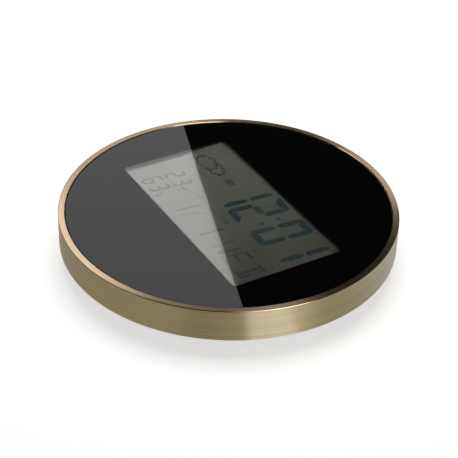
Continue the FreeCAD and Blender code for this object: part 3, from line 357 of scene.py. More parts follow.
def glass_levels():
    """Rings of the glass from the top's middle, over the ground edge, to the middle of the underside."""
    window = rounded_rectangle(WINDOW_X, WINDOW_Y, WINDOW_CORNER) + WINDOW_SHIFT
    turn = np.arctan2(window[:, 1], window[:, 0])
    circle = np.stack([np.cos(turn), np.sin(turn)], axis=1)
    clear = rounded_rectangle(WINDOW_X + CLEAR_MARGIN, WINDOW_Y + CLEAR_MARGIN, WINDOW_CORNER + CLEAR_MARGIN)
    clear = clear + WINDOW_SHIFT
    levels = [(window * HEART, GLASS_HIGH), (window * 0.5, GLASS_HIGH), (clear, GLASS_HIGH)]
    for share in (0.33, 0.66, 1.0):
        levels.append((clear * (1 - share) + circle * (GLASS_R - EDGE) * share, GLASS_HIGH))
    levels.append((circle * GLASS_R, GLASS_HIGH - EDGE))
    levels.append((circle * GLASS_R, GLASS_LOW + EDGE))
    levels.append((circle * (GLASS_R - EDGE), GLASS_LOW))
    for share in (0.66, 0.33):
        levels.append((window * (1 - share) + circle * (GLASS_R - EDGE) * share, GLASS_LOW))
    levels.append((window, GLASS_LOW))
    levels.append((window * 0.5, GLASS_LOW))
    levels.append((window * HEART, GLASS_LOW))
    return [np.column_stack([flat, np.full(len(flat), z)]) for flat, z in levels]


def pane_material(name, let_through):
    """Clear glass that lets light fall through to what lies behind it: rays on their way to a lamp pass straight
    through, dimmed as a polariser dims them, and all others see real glass."""
    glass = finish(name, Base_Color=(1.0, 1.0, 1.0), Roughness=0.0, IOR=1.5, Transmission_Weight=1.0)
    path = add(glass, "ShaderNodeLightPath")
    clear = add(glass, "ShaderNodeBsdfTransparent", Color=(let_through, let_through, let_through, 1.0))
    mix = add(glass, "ShaderNodeMixShader", {
        0: path.outputs["Is Shadow Ray"], 1: glass.node_tree.nodes["Principled BSDF"].outputs[0],
        2: clear.outputs[0]})
    glass.node_tree.links.new(mix.outputs[0], glass.node_tree.nodes["Material Output"].inputs["Surface"])
    return glass


face_glass = pane_material("face_glass", 0.33)
black_glass = finish("glass_over_ink", Base_Color=(0.0003, 0.0003, 0.0003), Roughness=0.0, IOR=1.5)
feed(black_glass, "Base Color", tint(black_glass, noise(black_glass, 60.0), (0.0002, 0.0002, 0.0002),
                                     (0.0004, 0.0004, 0.0004)))
ink = finish("printed_ink", Base_Color=(0.002, 0.002, 0.0022), Roughness=0.5, Specular_IOR_Level=0.0)
feed(ink, "Roughness", spread(ink, noise(ink, 900.0), 0.4, 0.6))

# %% Build the glass
CLEAR, INKED, OVER_INK = 0, 1, 2    # slots of the glass's three looks
levels = glass_levels()
count, rows = len(levels[0]), len(levels)
points = np.concatenate(levels + [[[0, 0, GLASS_HIGH]], [[0, 0, GLASS_LOW]]])
grid = weave(rows, count, False, True)
spokes = np.arange(count)
top = np.stack([np.full(count, rows * count), spokes, (spokes + 1) % count], axis=1)
last = (rows - 1) * count
under = np.stack([np.full(count, rows * count + 1), last + (spokes + 1) % count, last + spokes], axis=1)
faces = [tuple(f) for f in grid] + [tuple(f) for f in top] + [tuple(f) for f in under]
band = np.repeat(np.arange(rows - 1), count)
kind = np.array([CLEAR] * 2 + [OVER_INK] * 6 + [INKED] * 3 + [CLEAR] * 2)
slots = np.concatenate([kind[band], np.full(2 * count, CLEAR)])
glass = mesh_piece("glass", points, faces, [face_glass, ink, black_glass], slots)
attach(glass, "case")
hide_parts("front_glass")
print("glass", round(GLASS_R * 2000, 1), "mm across,", int((slots == INKED).sum()), "inked faces")

# %% [markdown]
# ## The display
#
# A reflective display is a sandwich: polariser, front plate, liquid crystal, rear plate, reflector. From outside it
# looks like one satin plate, grey-green where nothing is shown, and its polished films mirror a bright lamp much
# more strongly than plain glass does. One laminated slab stands for the films and plates. Its outline steps in at
# the films, and its lower side carries the contact ledge. A high index of refraction on the top face gives the strong
# mirror, over a dark diffuse colour.

# %% The panel's section
def laminate():
    """Rings of a rectangular slab from the middle of its top to the middle of its bottom. Each ring is
    (half width, top y, bottom y, height)."""
    film_x, film_y = 53.1 * MM, 28.1 * MM
    plate_x, plate_y, ledge_y = 54.0 * MM, 29.0 * MM, 33.0 * MM
    film_top = float(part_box("front_polariser")[1][2])
    plate_top = float(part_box("panel_front_plate")[1][2])
    split = float(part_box("panel_rear_plate")[1][2])
    plate_low = float(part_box("panel_rear_plate")[0][2])
    film_low = float(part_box("panel_reflector")[0][2])
    return [
        (film_x * 0.5, film_y * 0.5, -film_y * 0.5, film_top), (film_x, film_y, -film_y, film_top),
        (film_x, film_y, -film_y, plate_top), (plate_x, plate_y, -ledge_y, plate_top),
        (plate_x, plate_y, -ledge_y, split), (plate_x, plate_y, -plate_y, split),
        (plate_x, plate_y, -plate_y, plate_low), (film_x, film_y, -film_y, plate_low),
        (film_x, film_y, -film_y, film_low), (film_x * 0.5, film_y * 0.5, -film_y * 0.5, film_low),
    ]


# %% [markdown]
# The display is given painted shade: its grey is darker toward its right end, where less of the lamps' light falls,
# so the grey runs between two tones along X, and a broad noise bends that drift so that it doesn't look ruled.

# %% The panel's finish
def panel_finish(name, tone, rough=0.06, index=2.35):
    """The display's satin face: a dark body colour under a mirror whose strength comes from the index."""
    made = finish(name, Base_Color=tone, Roughness=rough, IOR=index, Specular_Tint=(0.96, 1.0, 0.93))
    fine = noise(made, 2500.0, detail=2.0)
    feed(made, "Roughness", spread(made, fine, rough * 0.8, rough * 1.25))
    return made


panel_grey = panel_finish("display_grey", (0.11, 0.112, 0.09))
along = add(panel_grey, "ShaderNodeSeparateXYZ", {
    "Vector": add(panel_grey, "ShaderNodeTexCoord").outputs["Object"]})
drift = add(panel_grey, "ShaderNodeMath", {
    0: along.outputs["X"], 1: times(panel_grey, noise(panel_grey, 25.0, detail=1.0), 12 * MM)}, operation="ADD")
# painted shade: the grey is lighter toward the left end and darker toward the right, where less lamp light falls
painted_shade_along_x = spread(panel_grey, drift.outputs[0], 1.0, 0.0, -45 * MM, 55 * MM)
feed(panel_grey, "Base Color", tint(panel_grey, painted_shade_along_x, (0.084, 0.086, 0.069), (0.168, 0.172, 0.140), 0.0, 1.0))

# %% Build the panel
rings = laminate()
corners = [np.array([[x, top, z], [-x, top, z], [-x, low, z], [x, low, z]]) for x, top, low, z in rings]
points = np.concatenate(corners)
faces = [tuple(f) for f in weave(len(rings), 4, False, True)] + [(0, 1, 2, 3)]
last = 4 * (len(rings) - 1)
faces.append((last + 3, last + 2, last + 1, last))
panel = mesh_piece("display_panel", points, faces, [panel_grey])
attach(panel, "case")
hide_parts("front_polariser", "panel_front_plate", "panel_rear_plate", "panel_reflector")
print("display panel", len(faces), "faces")

# %% [markdown]
# ## Segments
#
# A display shows a fixed set of shapes. Each is made as a flat tile two hundredths of a millimetre thick on the
# panel's face. A digit has seven tiles with mitred tips, set in a cell and leaned over by four degrees. Letters of
# the weekday use longer sets with a middle stroke and diagonals. `tiles` lifts many closed outlines at once into
# prisms and joins them into one mesh.

# %% Outlines of segments
PANEL_Z = rings[0][3]
LEAN = math.tan(math.radians(4.2))


def prism(outline, low, high):
    """A closed outline lifted between two levels: rings of points and side quads, with a cap at each end."""
    n = len(outline)
    points = np.concatenate([
        np.column_stack([outline, np.full(n, low)]), np.column_stack([outline, np.full(n, high)])])
    j = np.arange(n)
    sides = np.stack([j, (j + 1) % n, n + (j + 1) % n, n + j], axis=1)
    return points, [tuple(s) for s in sides] + [tuple(j[::-1]), tuple(n + j)]


def area(outline):
    """Twice the signed area: the sum of x(i) y(i+1) - x(i+1) y(i)."""
    x, y = outline[:, 0], outline[:, 1]
    return float(np.sum(x * np.roll(y, -1) - np.roll(x, -1) * y))


def tiles(outlines, low, high):
    """Many prisms as one set of points and faces. Every outline is turned counter-clockwise first."""
    points, faces, start = [], [], 0
    for outline in outlines:
        outline = np.asarray(outline, float)
        if area(outline) < 0:
            outline = outline[::-1]
        p, f = prism(outline * MM, low, high)
        points.append(p)
        faces += [tuple(start + k for k in face) for face in f]
        start += len(p)
    return np.concatenate(points), faces


def digit(shown, x, y, wide, tall, thick):
    """Outlines of a seven-segment digit in millimetres, its cell's lower left corner at (x, y). shown lists the
    segments by letter: a top, b and c right, d bottom, e and f left, g middle."""
    t, g, half = thick, thick * 0.09, tall / 2
    side = np.array([(0, half + t / 2), (0, tall - 0.62 * t), (0.42 * t, tall - 0.12 * t),
                     (t - g, tall - t - g), (t - g, half + t / 2 + g), (t / 2 - g, half + g)])
    cap = np.array([(0.55 * t, tall), (wide - 0.55 * t, tall), (wide - 0.30 * t, tall - 0.18 * t),
                    (wide - t - g, tall - t), (t + g, tall - t), (0.30 * t, tall - 0.18 * t)])
    bar = np.array([(t / 2 + g, half), (t + g, half + t / 2), (wide - t - g, half + t / 2),
                    (wide - t / 2 - g, half), (wide - t - g, half - t / 2), (t + g, half - t / 2)])
    right, down = np.array([wide, 0]), np.array([0, tall])
    flip_x, flip_y = np.array([-1, 1]), np.array([1, -1])
    shapes = {
        "f": side, "b": right + side * flip_x, "e": down + side * flip_y,
        "c": right + down + side * flip_x * flip_y, "a": cap, "d": down + cap * flip_y, "g": bar,
    }
    made = []
    for letter in shown:
        shape = shapes[letter].copy()
        shape[:, 0] += shape[:, 1] * LEAN
        made.append(shape + np.array([x, y]))
    return made


DIGITS = {"0": "abcdef", "1": "bc", "2": "abged", "3": "abgcd", "6": "afgedc"}


def stroke(path, width):
    """A flat band of even width along an open path: each point moves half the width along its normal, the mean of
    the normals of the runs that meet there."""
    path = np.asarray(path, float)
    runs = np.diff(path, axis=0)
    runs /= np.linalg.norm(runs, axis=1)[:, None]
    normal = np.stack([-runs[:, 1], runs[:, 0]], axis=1)
    mean = np.concatenate([normal[:1], normal[:-1] + normal[1:], normal[-1:]])
    mean /= np.linalg.norm(mean, axis=1)[:, None]
    lengthen = np.concatenate([[1.0], 1 / np.clip((mean[1:-1] * normal[1:]).sum(axis=1), 0.4, 1), [1.0]])
    off = mean * (lengthen * width / 2)[:, None]
    return np.concatenate([path + off, (path - off)[::-1]])


# %% [markdown]
# ### What the display shows
#
# The clock reads 12:01 in large digits, with the temperature, the humidity, a date and the weekday below, and a cloud
# for the forecast. All of it is generic. Small words are drawn with strokes on a five by seven lattice, as the mask of
# a real display would have them.

# %% Digits
def number(text, x, y, pitch, wide, tall, thick):
    """Outlines of several digits in a row."""
    made = []
    for k, symbol in enumerate(text):
        made += digit(DIGITS[symbol], x + k * pitch, y, wide, tall, thick)
    return made


def disc(x, y, radius, steps=20):
    """A round dot."""
    return arc((x, y), radius, 0, 360 - 360 / steps, steps)


clock = digit("bc", -13.9, -1.2, 11.4, 25.9, 3.3) + digit(DIGITS["2"], -0.6, -1.2, 11.6, 25.9, 3.3)
clock += digit(DIGITS["0"], 18.4, -1.2, 11.8, 25.9, 3.3) + digit("bc", 32.4, -1.2, 11.8, 25.9, 3.3)
clock += [disc(16.3, 16.1, 1.2), disc(15.6, 7.4, 1.2)]
small = number("23", -38.9, -12.1, 6.9, 4.0, 9.4, 0.85) + number("63", -39.7, -23.3, 6.9, 4.0, 9.4, 0.85)
date = digit("bc", -15.6, -21.1, 5.6, 12.4, 1.35) + digit("bc", 5.4, -21.1, 5.6, 12.4, 1.35)
date.append(stroke([(-7.1, -21.1), (-3.3, -8.9)], 0.5))
print("outlines so far", len(clock) + len(small) + len(date))

# %% Letters and signs
LETTERS = {
    "A": [[(0, 0), (0, 5), (2, 7), (4, 5), (4, 0)], [(0, 3), (4, 3)]],
    "M": [[(0, 0), (0, 7), (2, 4), (4, 7), (4, 0)]],
    "Z": [[(0, 7), (4, 7), (0, 0), (4, 0)]],
    "O": [[(0.01, 0), (4, 0), (4, 7), (0, 7), (0, 0.01)]],
    "N": [[(0, 0), (0, 7), (4, 0), (4, 7)]],
    "E": [[(4, 7), (0, 7), (0, 0), (4, 0)], [(0, 3.6), (3.4, 3.6)]],
    "D": [[(0, 0.01), (0, 7), (2.6, 7), (4, 5.6), (4, 1.4), (2.6, 0), (0.01, 0)]],
    "S": [[(4, 6.2), (3.2, 7), (0.8, 7), (0, 6.2), (0, 4.4), (0.8, 3.6), (3.2, 3.6), (4, 2.8), (4, 0.8), (3.2, 0),
           (0.8, 0), (0, 0.8)]],
    "T": [[(0, 7), (4, 7)], [(2, 7), (2, 0)]],
    "C": [[(4, 6), (3, 7), (1, 7), (0, 6), (0, 1), (1, 0), (3, 0), (4, 1)]],
    "%": [[(0, 0), (4, 7)], [(0.2, 5), (1.3, 5), (1.3, 6.6), (0.2, 6.6), (0.2, 5.2)],
          [(2.7, 0.4), (3.8, 0.4), (3.8, 2), (2.7, 2), (2.7, 0.6)]],
}


def word(text, x, y, tall, weight):
    """Strokes of a word on a lattice of 5.4 units a letter, leaned like the digits."""
    unit = tall / 7
    made = []
    for k, symbol in enumerate(text):
        for path in LETTERS[symbol]:
            path = np.array(path, float) * unit
            path[:, 0] += path[:, 1] * LEAN + k * 5.6 * unit
            made.append(stroke(path + np.array([x, y]), weight))
    return made


WORDS = (("AM", -21.6, 9.7, 3.4, 0.45), ("ZONE", 3.7, -6.4, 1.7, 0.28), ("DST", 30.3, -6.4, 1.7, 0.28),
         ("DATE", -16.8, -6.3, 1.5, 0.25), ("C", -25.2, -12.1, 3.4, 0.5), ("%", -26.3, -23.3, 3.2, 0.4))
labels = [path for row in WORDS for path in word(*row)]
labels += [stroke(arc((-26.4, -8.9), 0.5, 20, 380, 12), 0.3)]


def weekday(x, y, wide, tall, thick):
    """W, E and D in long segments with middle strokes: W has side strokes and two inner diagonals, D a middle
    upright."""
    pitch = 9.2
    made = digit("fe", x, y, wide, tall, thick) + digit("bc", x, y, wide, tall, thick)
    for side in (-1, 1):
        ends = np.array([(wide / 2 + side * 0.9, tall * 0.44), (wide / 2 + side * (wide / 2 - thick - 0.3), 0.9)])
        ends[:, 0] += ends[:, 1] * LEAN
        made.append(stroke(ends + np.array([x, y]), thick * 0.75))
    made += digit("afged", x + pitch, y, wide, tall, thick)
    made += digit("abcd", x + 2 * pitch + 0.6, y, wide, tall, thick)
    for low, high in ((thick + 0.2, tall / 2 - 0.4), (tall / 2 + 0.4, tall - thick - 0.2)):
        ends = np.array([(wide / 2, low), (wide / 2, high)])
        ends[:, 0] += ends[:, 1] * LEAN
        made.append(stroke(ends + np.array([x + 2 * pitch + 0.6, y]), thick * 0.9))
    return made


letters = weekday(19.8, -20.7, 6.6, 12.0, 0.95)

# %% The forecast's cloud
def cloud(x, y, wide, tall, lobes):
    """A cloud's outline: a closed ellipse whose radius swells and shrinks with |sin|, flatter below."""
    t = np.linspace(0, 2 * np.pi, 180, endpoint=False)
    puff = 0.84 + 0.30 * np.abs(np.sin(lobes * t / 2)) ** 0.8
    px = x + wide / 2 * np.cos(t) * puff
    py = y + tall / 2 * np.sin(t) * puff * np.where(np.sin(t) < 0, 0.72, 1.0)
    return np.stack([px + py * LEAN, py], axis=1)


def open_part(outline, keep):
    """The longest run of an outline's points that a test keeps."""
    flags = keep(outline)
    if flags.all():
        return outline
    start = int(np.argmin(flags))
    rolled, flags = np.roll(outline, -start, axis=0), np.roll(flags, -start)
    edges = np.flatnonzero(np.diff(np.concatenate([[0], flags.astype(int), [0]])))
    spans = edges.reshape(-1, 2)
    best = spans[np.argmax(spans[:, 1] - spans[:, 0])]
    return rolled[best[0]:best[1]]


front_cloud = cloud(-39.6, 10.2, 12.6, 8.2, 9)
back_cloud = cloud(-33.4, 11.0, 11.6, 7.2, 9)
hidden = open_part(back_cloud, lambda p: ((p[:, 0] + 40.3) / 6.6) ** 2 + ((p[:, 1] - 10.2) / 4.4) ** 2 > 1)
forecast = [stroke(np.concatenate([front_cloud, front_cloud[:1]]), 0.5), stroke(hidden, 0.5)]
for k in range(4):
    drop = np.array([(-34.0 + 1.9 * k, 4.2), (-34.6 + 1.9 * k, 3.0)])
    forecast.append(stroke(drop, 0.35))
shown = clock + small + date + labels + letters + forecast
print("display shapes", len(shown))

# %% Build the tiles
TILE_T = 0.02 * MM
segment_blue = panel_finish("segment_blue", (0.028, 0.055, 0.064), index=2.0)
points, faces = tiles(shown, PANEL_Z, PANEL_Z + TILE_T)
segments = mesh_piece("display_segments", points, faces, [segment_blue])
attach(segments, "case")
print("display tiles", len(faces), "faces")

# %% [markdown]
# ## Plastic, rubber and steel
#
# The back is black moulded plastic with a fine spark-eroded texture. Grain is about a fifth of a millimetre, so noise
# at a few thousand per metre drives the bump, and a broad, weak noise keeps large faces from looking flat. Keys,
# feet, screws and cells each get a finish of their own. The engineering nodes keep their shape and only change
# material.

# %% Finishes of the back
def moulded(name, tone, rough, grain=3600.0, depth=0.03):
    """Moulded plastic: fine grain in the surface and a slight drift in tone and gloss."""
    made = finish(name, Base_Color=tone, Roughness=rough, IOR=1.5)
    light = tuple(c * 1.35 + 0.002 for c in tone)
    feed(made, "Base Color", tint(made, noise(made, 60.0, detail=4.0), tone, light))
    feed(made, "Roughness", spread(made, noise(made, 240.0), rough - 0.06, rough + 0.08))
    bump(made, noise(made, grain, detail=2.0), depth * MM, 0.35)
    return made


def steel(name, tone, rough, stretch=(1, 14, 1)):
    """Plated sheet or wire with faint rolling marks along one axis."""
    made = finish(name, Base_Color=tone, Metallic=1.0, Roughness=rough)
    marks = noise(made, 900.0, stretch, detail=4.0)
    feed(made, "Roughness", spread(made, marks, rough - 0.08, rough + 0.1))
    light = tuple(min(1.0, c * 1.1) for c in tone)
    feed(made, "Base Color", tint(made, noise(made, 300.0, stretch), tuple(c * 0.88 for c in tone), light))
    bump(made, marks, 0.006 * MM, 0.5)
    return made


def circuit_board():
    """Green solder mask with the faint relief of traces under it."""
    made = finish("solder_mask", Base_Color=(0.012, 0.10, 0.045), Roughness=0.3)
    place = add(made, "ShaderNodeTexCoord")
    traces = add(made, "ShaderNodeTexBrick", {"Vector": place.outputs["Object"]}, Scale=160.0, Mortar_Size=0.06,
                 Color1=(0.012, 0.105, 0.045, 1), Color2=(0.010, 0.085, 0.038, 1), Mortar=(0.03, 0.19, 0.09, 1))
    feed(made, "Base Color", traces.outputs["Color"])
    feed(made, "Roughness", spread(made, noise(made, 900.0), 0.25, 0.4))
    bump(made, traces.outputs["Fac"], 0.03 * MM, 0.4)
    return made


def striped_rubber():
    """Contact strip: thin dark layers across pale silicone, a tenth of a millimetre apart."""
    made = finish("striped_rubber", Base_Color=(0.4, 0.4, 0.39), Roughness=0.55)
    place = add(made, "ShaderNodeTexCoord")
    bands = add(made, "ShaderNodeTexWave", {"Vector": place.outputs["Object"]}, Scale=1250.0)
    feed(made, "Base Color", tint(made, bands.outputs["Fac"], (0.03, 0.03, 0.03), (0.5, 0.5, 0.48)))
    bump(made, bands.outputs["Fac"], 0.01 * MM)
    return made


def cell_jacket(name, positive):
    """A printed jacket: a copper band at the positive end, a dark body and a bare rim. positive is +1 or -1."""
    made = finish(name, Base_Color=(0.02, 0.022, 0.03), Roughness=0.28, Metallic=0.3)
    place = add(made, "ShaderNodeTexCoord")
    split = add(made, "ShaderNodeSeparateXYZ", {"Vector": place.outputs["Object"]})
    low, high = (float(c[0]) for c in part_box("battery_lower" if positive < 0 else "battery_upper"))
    along = spread(made, split.outputs["X"], 0.0 if positive > 0 else 1.0, 1.0 if positive > 0 else 0.0, low, high)
    ramp = add(made, "ShaderNodeValToRGB", {"Fac": along})
    ramp.color_ramp.interpolation = "CONSTANT"
    stops = [(0.0, (0.55, 0.55, 0.54)), (0.03, (0.02, 0.022, 0.03)), (0.66, (0.50, 0.27, 0.12)),
             (0.955, (0.6, 0.6, 0.58))]
    elements = ramp.color_ramp.elements
    elements[0].position, elements[0].color = stops[0][0], (*stops[0][1], 1)
    elements[1].position, elements[1].color = stops[3][0], (*stops[3][1], 1)
    for position, colour in stops[1:3]:
        stop = elements.new(position)
        stop.color = (*colour, 1)
    feed(made, "Base Color", ramp.outputs["Color"])
    feed(made, "Roughness", spread(made, noise(made, 500.0), 0.22, 0.34))
    return made


# %% [markdown]
# One table says which finish goes on which node. Every node of the engineering model that stays in view, and every
# one inside, is listed, so nothing keeps its plain placeholder.

# %% Give every node its finish
black_case = moulded("case_black", (0.012, 0.012, 0.0125), 0.5)
black_key = moulded("key_black", (0.018, 0.018, 0.019), 0.38, grain=6000.0, depth=0.01)
black_inner = moulded("inner_black", (0.010, 0.010, 0.0105), 0.34, grain=5000.0, depth=0.01)
black_rubber = moulded("rubber_black", (0.014, 0.014, 0.014), 0.8, grain=2600.0, depth=0.04)
resin = moulded("resin_black", (0.008, 0.008, 0.008), 0.22, grain=800.0, depth=0.02)
tape = moulded("foam_tape", (0.011, 0.011, 0.011), 0.85, grain=2400.0, depth=0.05)
chips = moulded("chip_brown", (0.07, 0.045, 0.03), 0.5)
ceramic = moulded("silvered_ceramic", (0.62, 0.61, 0.57), 0.4)
red_wire = moulded("wire_red", (0.36, 0.012, 0.012), 0.4)
black_wire = moulded("wire_black", (0.012, 0.012, 0.012), 0.4)
grey_wire = moulded("wire_grey", (0.22, 0.22, 0.23), 0.45)
zinc = steel("zinc_plate", (0.56, 0.56, 0.55), 0.34)
nickel = steel("nickel_plate", (0.66, 0.64, 0.60), 0.24)
tin = steel("tinned_can", (0.66, 0.66, 0.64), 0.3)
brass = steel("buzzer_brass", (0.78, 0.57, 0.26), 0.26)
board_mask = circuit_board()

DRESS = {
    "glass_mask": ink, "glass_tape": tape, "front_carrier": black_inner, "display_frame": black_inner,
    "contact_strip": striped_rubber(), "main_board": board_mask, "sensor_board": board_mask,
    "board_screws": zinc, "frame_screws": zinc, "case_screws": zinc, "hanger_screws": zinc, "stand_pin": zinc,
    "hanger_plate": zinc, "processor_blob": resin, "humidity_sensor": resin, "switch_bodies": resin,
    "clock_crystal": tin, "pressure_sensor": tin, "board_parts": chips, "rear_cover": black_case,
    "battery_door": black_case, "stand_leg": black_case, "rubber_feet": black_rubber, "stand_pad": black_rubber,
    "battery_lower": cell_jacket("jacket_lower", -1), "battery_upper": cell_jacket("jacket_upper", 1),
    "battery_springs": nickel, "bridge_contact": nickel, "positive_contact": nickel, "negative_contact": nickel,
    "buzzer_disc": brass, "buzzer_ceramic": ceramic, "battery_lead_red": red_wire,
    "battery_lead_black": black_wire, "buzzer_leads": black_wire, "sensor_leads": grey_wire,
}
KEYS = ("set", "up", "down", "units", "alarm", "snooze")
for name in KEYS:
    DRESS["key_" + name] = black_key
    DRESS["plunger_" + name] = black_key

for node, made in DRESS.items():
    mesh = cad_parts[node].data
    mesh.materials.clear()
    mesh.materials.append(made)
replaced = {"bezel_ring", "front_glass", "front_polariser", "panel_front_plate", "panel_rear_plate",
            "panel_reflector"}
print("dressed", len(DRESS), "left plain", sorted(set(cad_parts) - set(DRESS) - replaced))

# %% [markdown]
# ## Floor and light
#
# The floor is plain and pale. Dull surfaces are lit by one large softbox high above, a little behind the far edge,
# so the shadow stays close under the ring and fades softly. Mirrors see a dark room with a few white panels in it.
# One panel hangs beyond the far left of the face and is what the glass reflects. Its edge makes the straight line
# across the face. Another stands off to the right, and a narrow upright one draws a bright line along the ring's
# rounded edge.
#
# The ring's wall leans neither up nor down, so a viewer from above sees only the tabletop mirrored in it. A studio
# table carries the reflections of its lamps and flags, a bright streak here and a grey one there, which the wall
# shows as upright bands. Here the floor gives mirrors that pattern by its direction round the station, as rays of
# light of a few strengths, while everything else sees it plain white.

# %% The floor
def table_glow(material):
    """What mirrors see of the table: a strength for each direction round the station, from the point's angle."""
    place = add(material, "ShaderNodeTexCoord")
    flat = add(material, "ShaderNodeSeparateXYZ", {"Vector": place.outputs["Object"]})
    angle = add(material, "ShaderNodeMath", {0: flat.outputs["Y"], 1: flat.outputs["X"]}, operation="ARCTAN2")
    turn = add(material, "ShaderNodeMapRange", {"Value": angle.outputs[0]}, **{
        "From_Min": -math.pi, "From_Max": math.pi, "To_Min": 0.0, "To_Max": 1.0})
    ramp = add(material, "ShaderNodeValToRGB", {"Fac": turn.outputs["Result"]})
    elements = ramp.color_ramp.elements
    elements[0].position, elements[0].color = 0.0, (0.36, 0.36, 0.36, 1)
    elements[1].position, elements[1].color = 1.0, (0.36, 0.36, 0.36, 1)
    for degrees, red, green, blue in TABLE_STREAKS:
        stop = elements.new((degrees + 180.0) / 360.0)
        stop.color = (red, green, blue, 1)
    return ramp.outputs["Color"]


TABLE_STREAKS = (
    (-103, 0.34, 0.34, 0.36), (-89, 0.35, 0.34, 0.32), (-67, 0.36, 0.36, 0.34), (-50, 0.36, 0.37, 0.35),
    (-46, 0.30, 0.31, 0.29), (-38, 0.295, 0.30, 0.28), (-29, 0.33, 0.34, 0.32), (-23.5, 0.35, 0.36, 0.34),
    (-21.5, 0.69, 0.725, 0.88), (-5.5, 0.69, 0.725, 0.88), (-3, 0.41, 0.42, 0.42), (5.6, 0.36, 0.37, 0.36),
    (13, 0.365, 0.37, 0.355), (20, 0.375, 0.385, 0.375), (27, 0.40, 0.425, 0.43), (34, 0.43, 0.46, 0.52),
    (41.5, 0.47, 0.51, 0.59), (48.6, 0.50, 0.55, 0.68), (60, 0.55, 0.62, 0.78), (90, 0.5, 0.5, 0.5))
floor_tone = finish("pale_floor", Base_Color=(0.95, 0.95, 0.95), Roughness=0.9, Specular_IOR_Level=0.0,
                    Emission_Color=(1.0, 1.0, 1.0), Emission_Strength=0.655)
feed(floor_tone, "Roughness", spread(floor_tone, noise(floor_tone, 40.0), 0.85, 0.95))
floor_path = add(floor_tone, "ShaderNodeLightPath")
seen_in_metal = add(floor_tone, "ShaderNodeEmission", {"Color": table_glow(floor_tone)}, Strength=1.0)
floor_mix = add(floor_tone, "ShaderNodeMixShader", {
    0: floor_path.outputs["Is Glossy Ray"], 1: floor_tone.node_tree.nodes["Principled BSDF"].outputs[0],
    2: seen_in_metal.outputs[0]})
floor_tone.node_tree.links.new(floor_mix.outputs[0],
                               floor_tone.node_tree.nodes["Material Output"].inputs["Surface"])
FLOOR_REACH, FLOOR_LINES = 3.0, 13    # metres each way, and grid lines along each side
side = np.linspace(-FLOOR_REACH, FLOOR_REACH, FLOOR_LINES)
gx, gy = np.meshgrid(side, side, indexing="ij")
floor_points = np.stack([gx, gy, np.zeros_like(gx)], axis=-1).reshape(-1, 3)
floor = mesh_piece("floor", floor_points, weave(FLOOR_LINES, FLOOR_LINES), [floor_tone])

# %% The room
world = bpy.data.worlds.new("room")
bpy.context.scene.world = world
world.use_nodes = True
tree = world.node_tree
tree.nodes.clear()
out = tree.nodes.new("ShaderNodeOutputWorld")
path = tree.nodes.new("ShaderNodeLightPath")
ambient = None
for ray, colour, strength in ((None, (1, 1, 1, 1), 0.05), ("Is Glossy Ray", (1, 0.97, 0.94, 1), 0.02),
                              ("Is Camera Ray", (1, 1, 1, 1), 1.0)):
    shade = tree.nodes.new("ShaderNodeBackground")
    shade.inputs["Color"].default_value, shade.inputs["Strength"].default_value = colour, strength
    if ray:
        mix = tree.nodes.new("ShaderNodeMixShader")
        tree.links.new(path.outputs[ray], mix.inputs[0])
        tree.links.new(ambient, mix.inputs[1])
        tree.links.new(shade.outputs[0], mix.inputs[2])
        shade = mix
    ambient = shade.outputs[0]
tree.links.new(ambient, out.inputs["Surface"])
print("room ready")

# %% A panel of light
def light_panel(name, centre, toward, across, size, radiance, for_mirrors=True):
    """A rectangular lamp of even radiance. across is the direction of its first side, toward the way it faces. A
    panel for mirrors is seen in gloss and metal only, and lights nothing dull."""
    lamp = bpy.data.lights.new(name, "AREA")
    lamp.shape, lamp.size, lamp.size_y = "RECTANGLE", size[0], size[1]
    lamp.energy = radiance * math.pi * size[0] * size[1]
    holder = bpy.data.objects.new(name, lamp)
    z = -np.array(toward, float) / np.linalg.norm(toward)
    x = np.array(across, float)
    x -= z * (x @ z)
    x /= np.linalg.norm(x)
    y = np.cross(z, x)
    placing = np.eye(4)
    placing[:3, 0], placing[:3, 1], placing[:3, 2], placing[:3, 3] = x, y, z, centre
    holder.matrix_world = Matrix(placing.tolist())
    lamp.color = (1.0, 0.965, 0.985)
    holder.visible_camera = False
    holder.visible_diffuse = not for_mirrors
    bpy.context.scene.collection.objects.link(holder)
    return holder


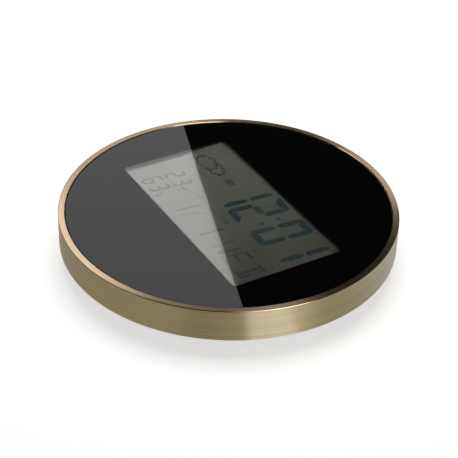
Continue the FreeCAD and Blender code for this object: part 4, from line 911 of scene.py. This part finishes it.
def direction(azimuth, elevation=0.0):
    """A unit vector from two angles in degrees: (cos e cos a, cos e sin a, sin e)."""
    a, e = math.radians(azimuth), math.radians(elevation)
    return np.array([math.cos(e) * math.cos(a), math.cos(e) * math.sin(a), math.sin(e)])


# %% [markdown]
# The panels over the far side hang level, all at one height. Their places are counted in ring radii along the edge
# whose mirror image cuts the face in two, and inward from it.

# %% Place the panels
EDGE_DIR = np.array([0.9466, -0.3225, 0.0])
INWARD = np.array([-0.3225, -0.9466, 0.0])
EDGE_MIDDLE = np.array([-3.58, 1.94, 2.794])


def ceiling_panel(name, along, deep, radiance):
    """A panel that faces down at the far panel's height, between two distances along its edge and two inward."""
    middle = EDGE_MIDDLE + EDGE_DIR * sum(along) / 2 + INWARD * sum(deep) / 2
    size = ((along[1] - along[0]) * RADIUS, (deep[1] - deep[0]) * RADIUS)
    return light_panel(name, middle * RADIUS + np.array([0, 0, TOP_Z]), (0, 0, -1), EDGE_DIR, size, radiance)


ceiling_panel("far_panel", (-2.4, 1.6), (0.0, 1.4), 1.07)
ceiling_panel("left_panel", (-1.6, 2.8), (1.4, 3.6), 1.5)
ceiling_panel("back_panel", (-3.6, -0.3), (-3.9, -2.2), 2.0)

# the softbox: from behind the far edge, high up
MAIN_LIGHT = np.array([-0.22, 0.13, 0.967])
main_light = light_panel("main_light", MAIN_LIGHT * 1.2, -MAIN_LIGHT, (0.13, 0.22, 0), (0.75, 0.75), 3.15,
                         for_mirrors=False)
main_light.data.color = (1.0, 1.0, 1.0)
main_light.data.cycles.use_multiple_importance_sampling = False
main_light.visible_glossy = False
out_dir = direction(3.0)
light_panel("right_panel", (out_dir * 6.0 + np.array([0, 0, 3.0])) * RADIUS, -out_dir - np.array([0, 0, 0.4]),
            direction(3.0 + 90.0), (4.4 * RADIUS, 3.5 * RADIUS), 1.2)
edge_out = direction(8.0, 50.0)
light_panel("edge_panel", edge_out * 6.0 * RADIUS, -edge_out, direction(8.0 + 90.0),
            (2.3 * RADIUS, 6.5 * RADIUS), 2.6)
print("panels placed")
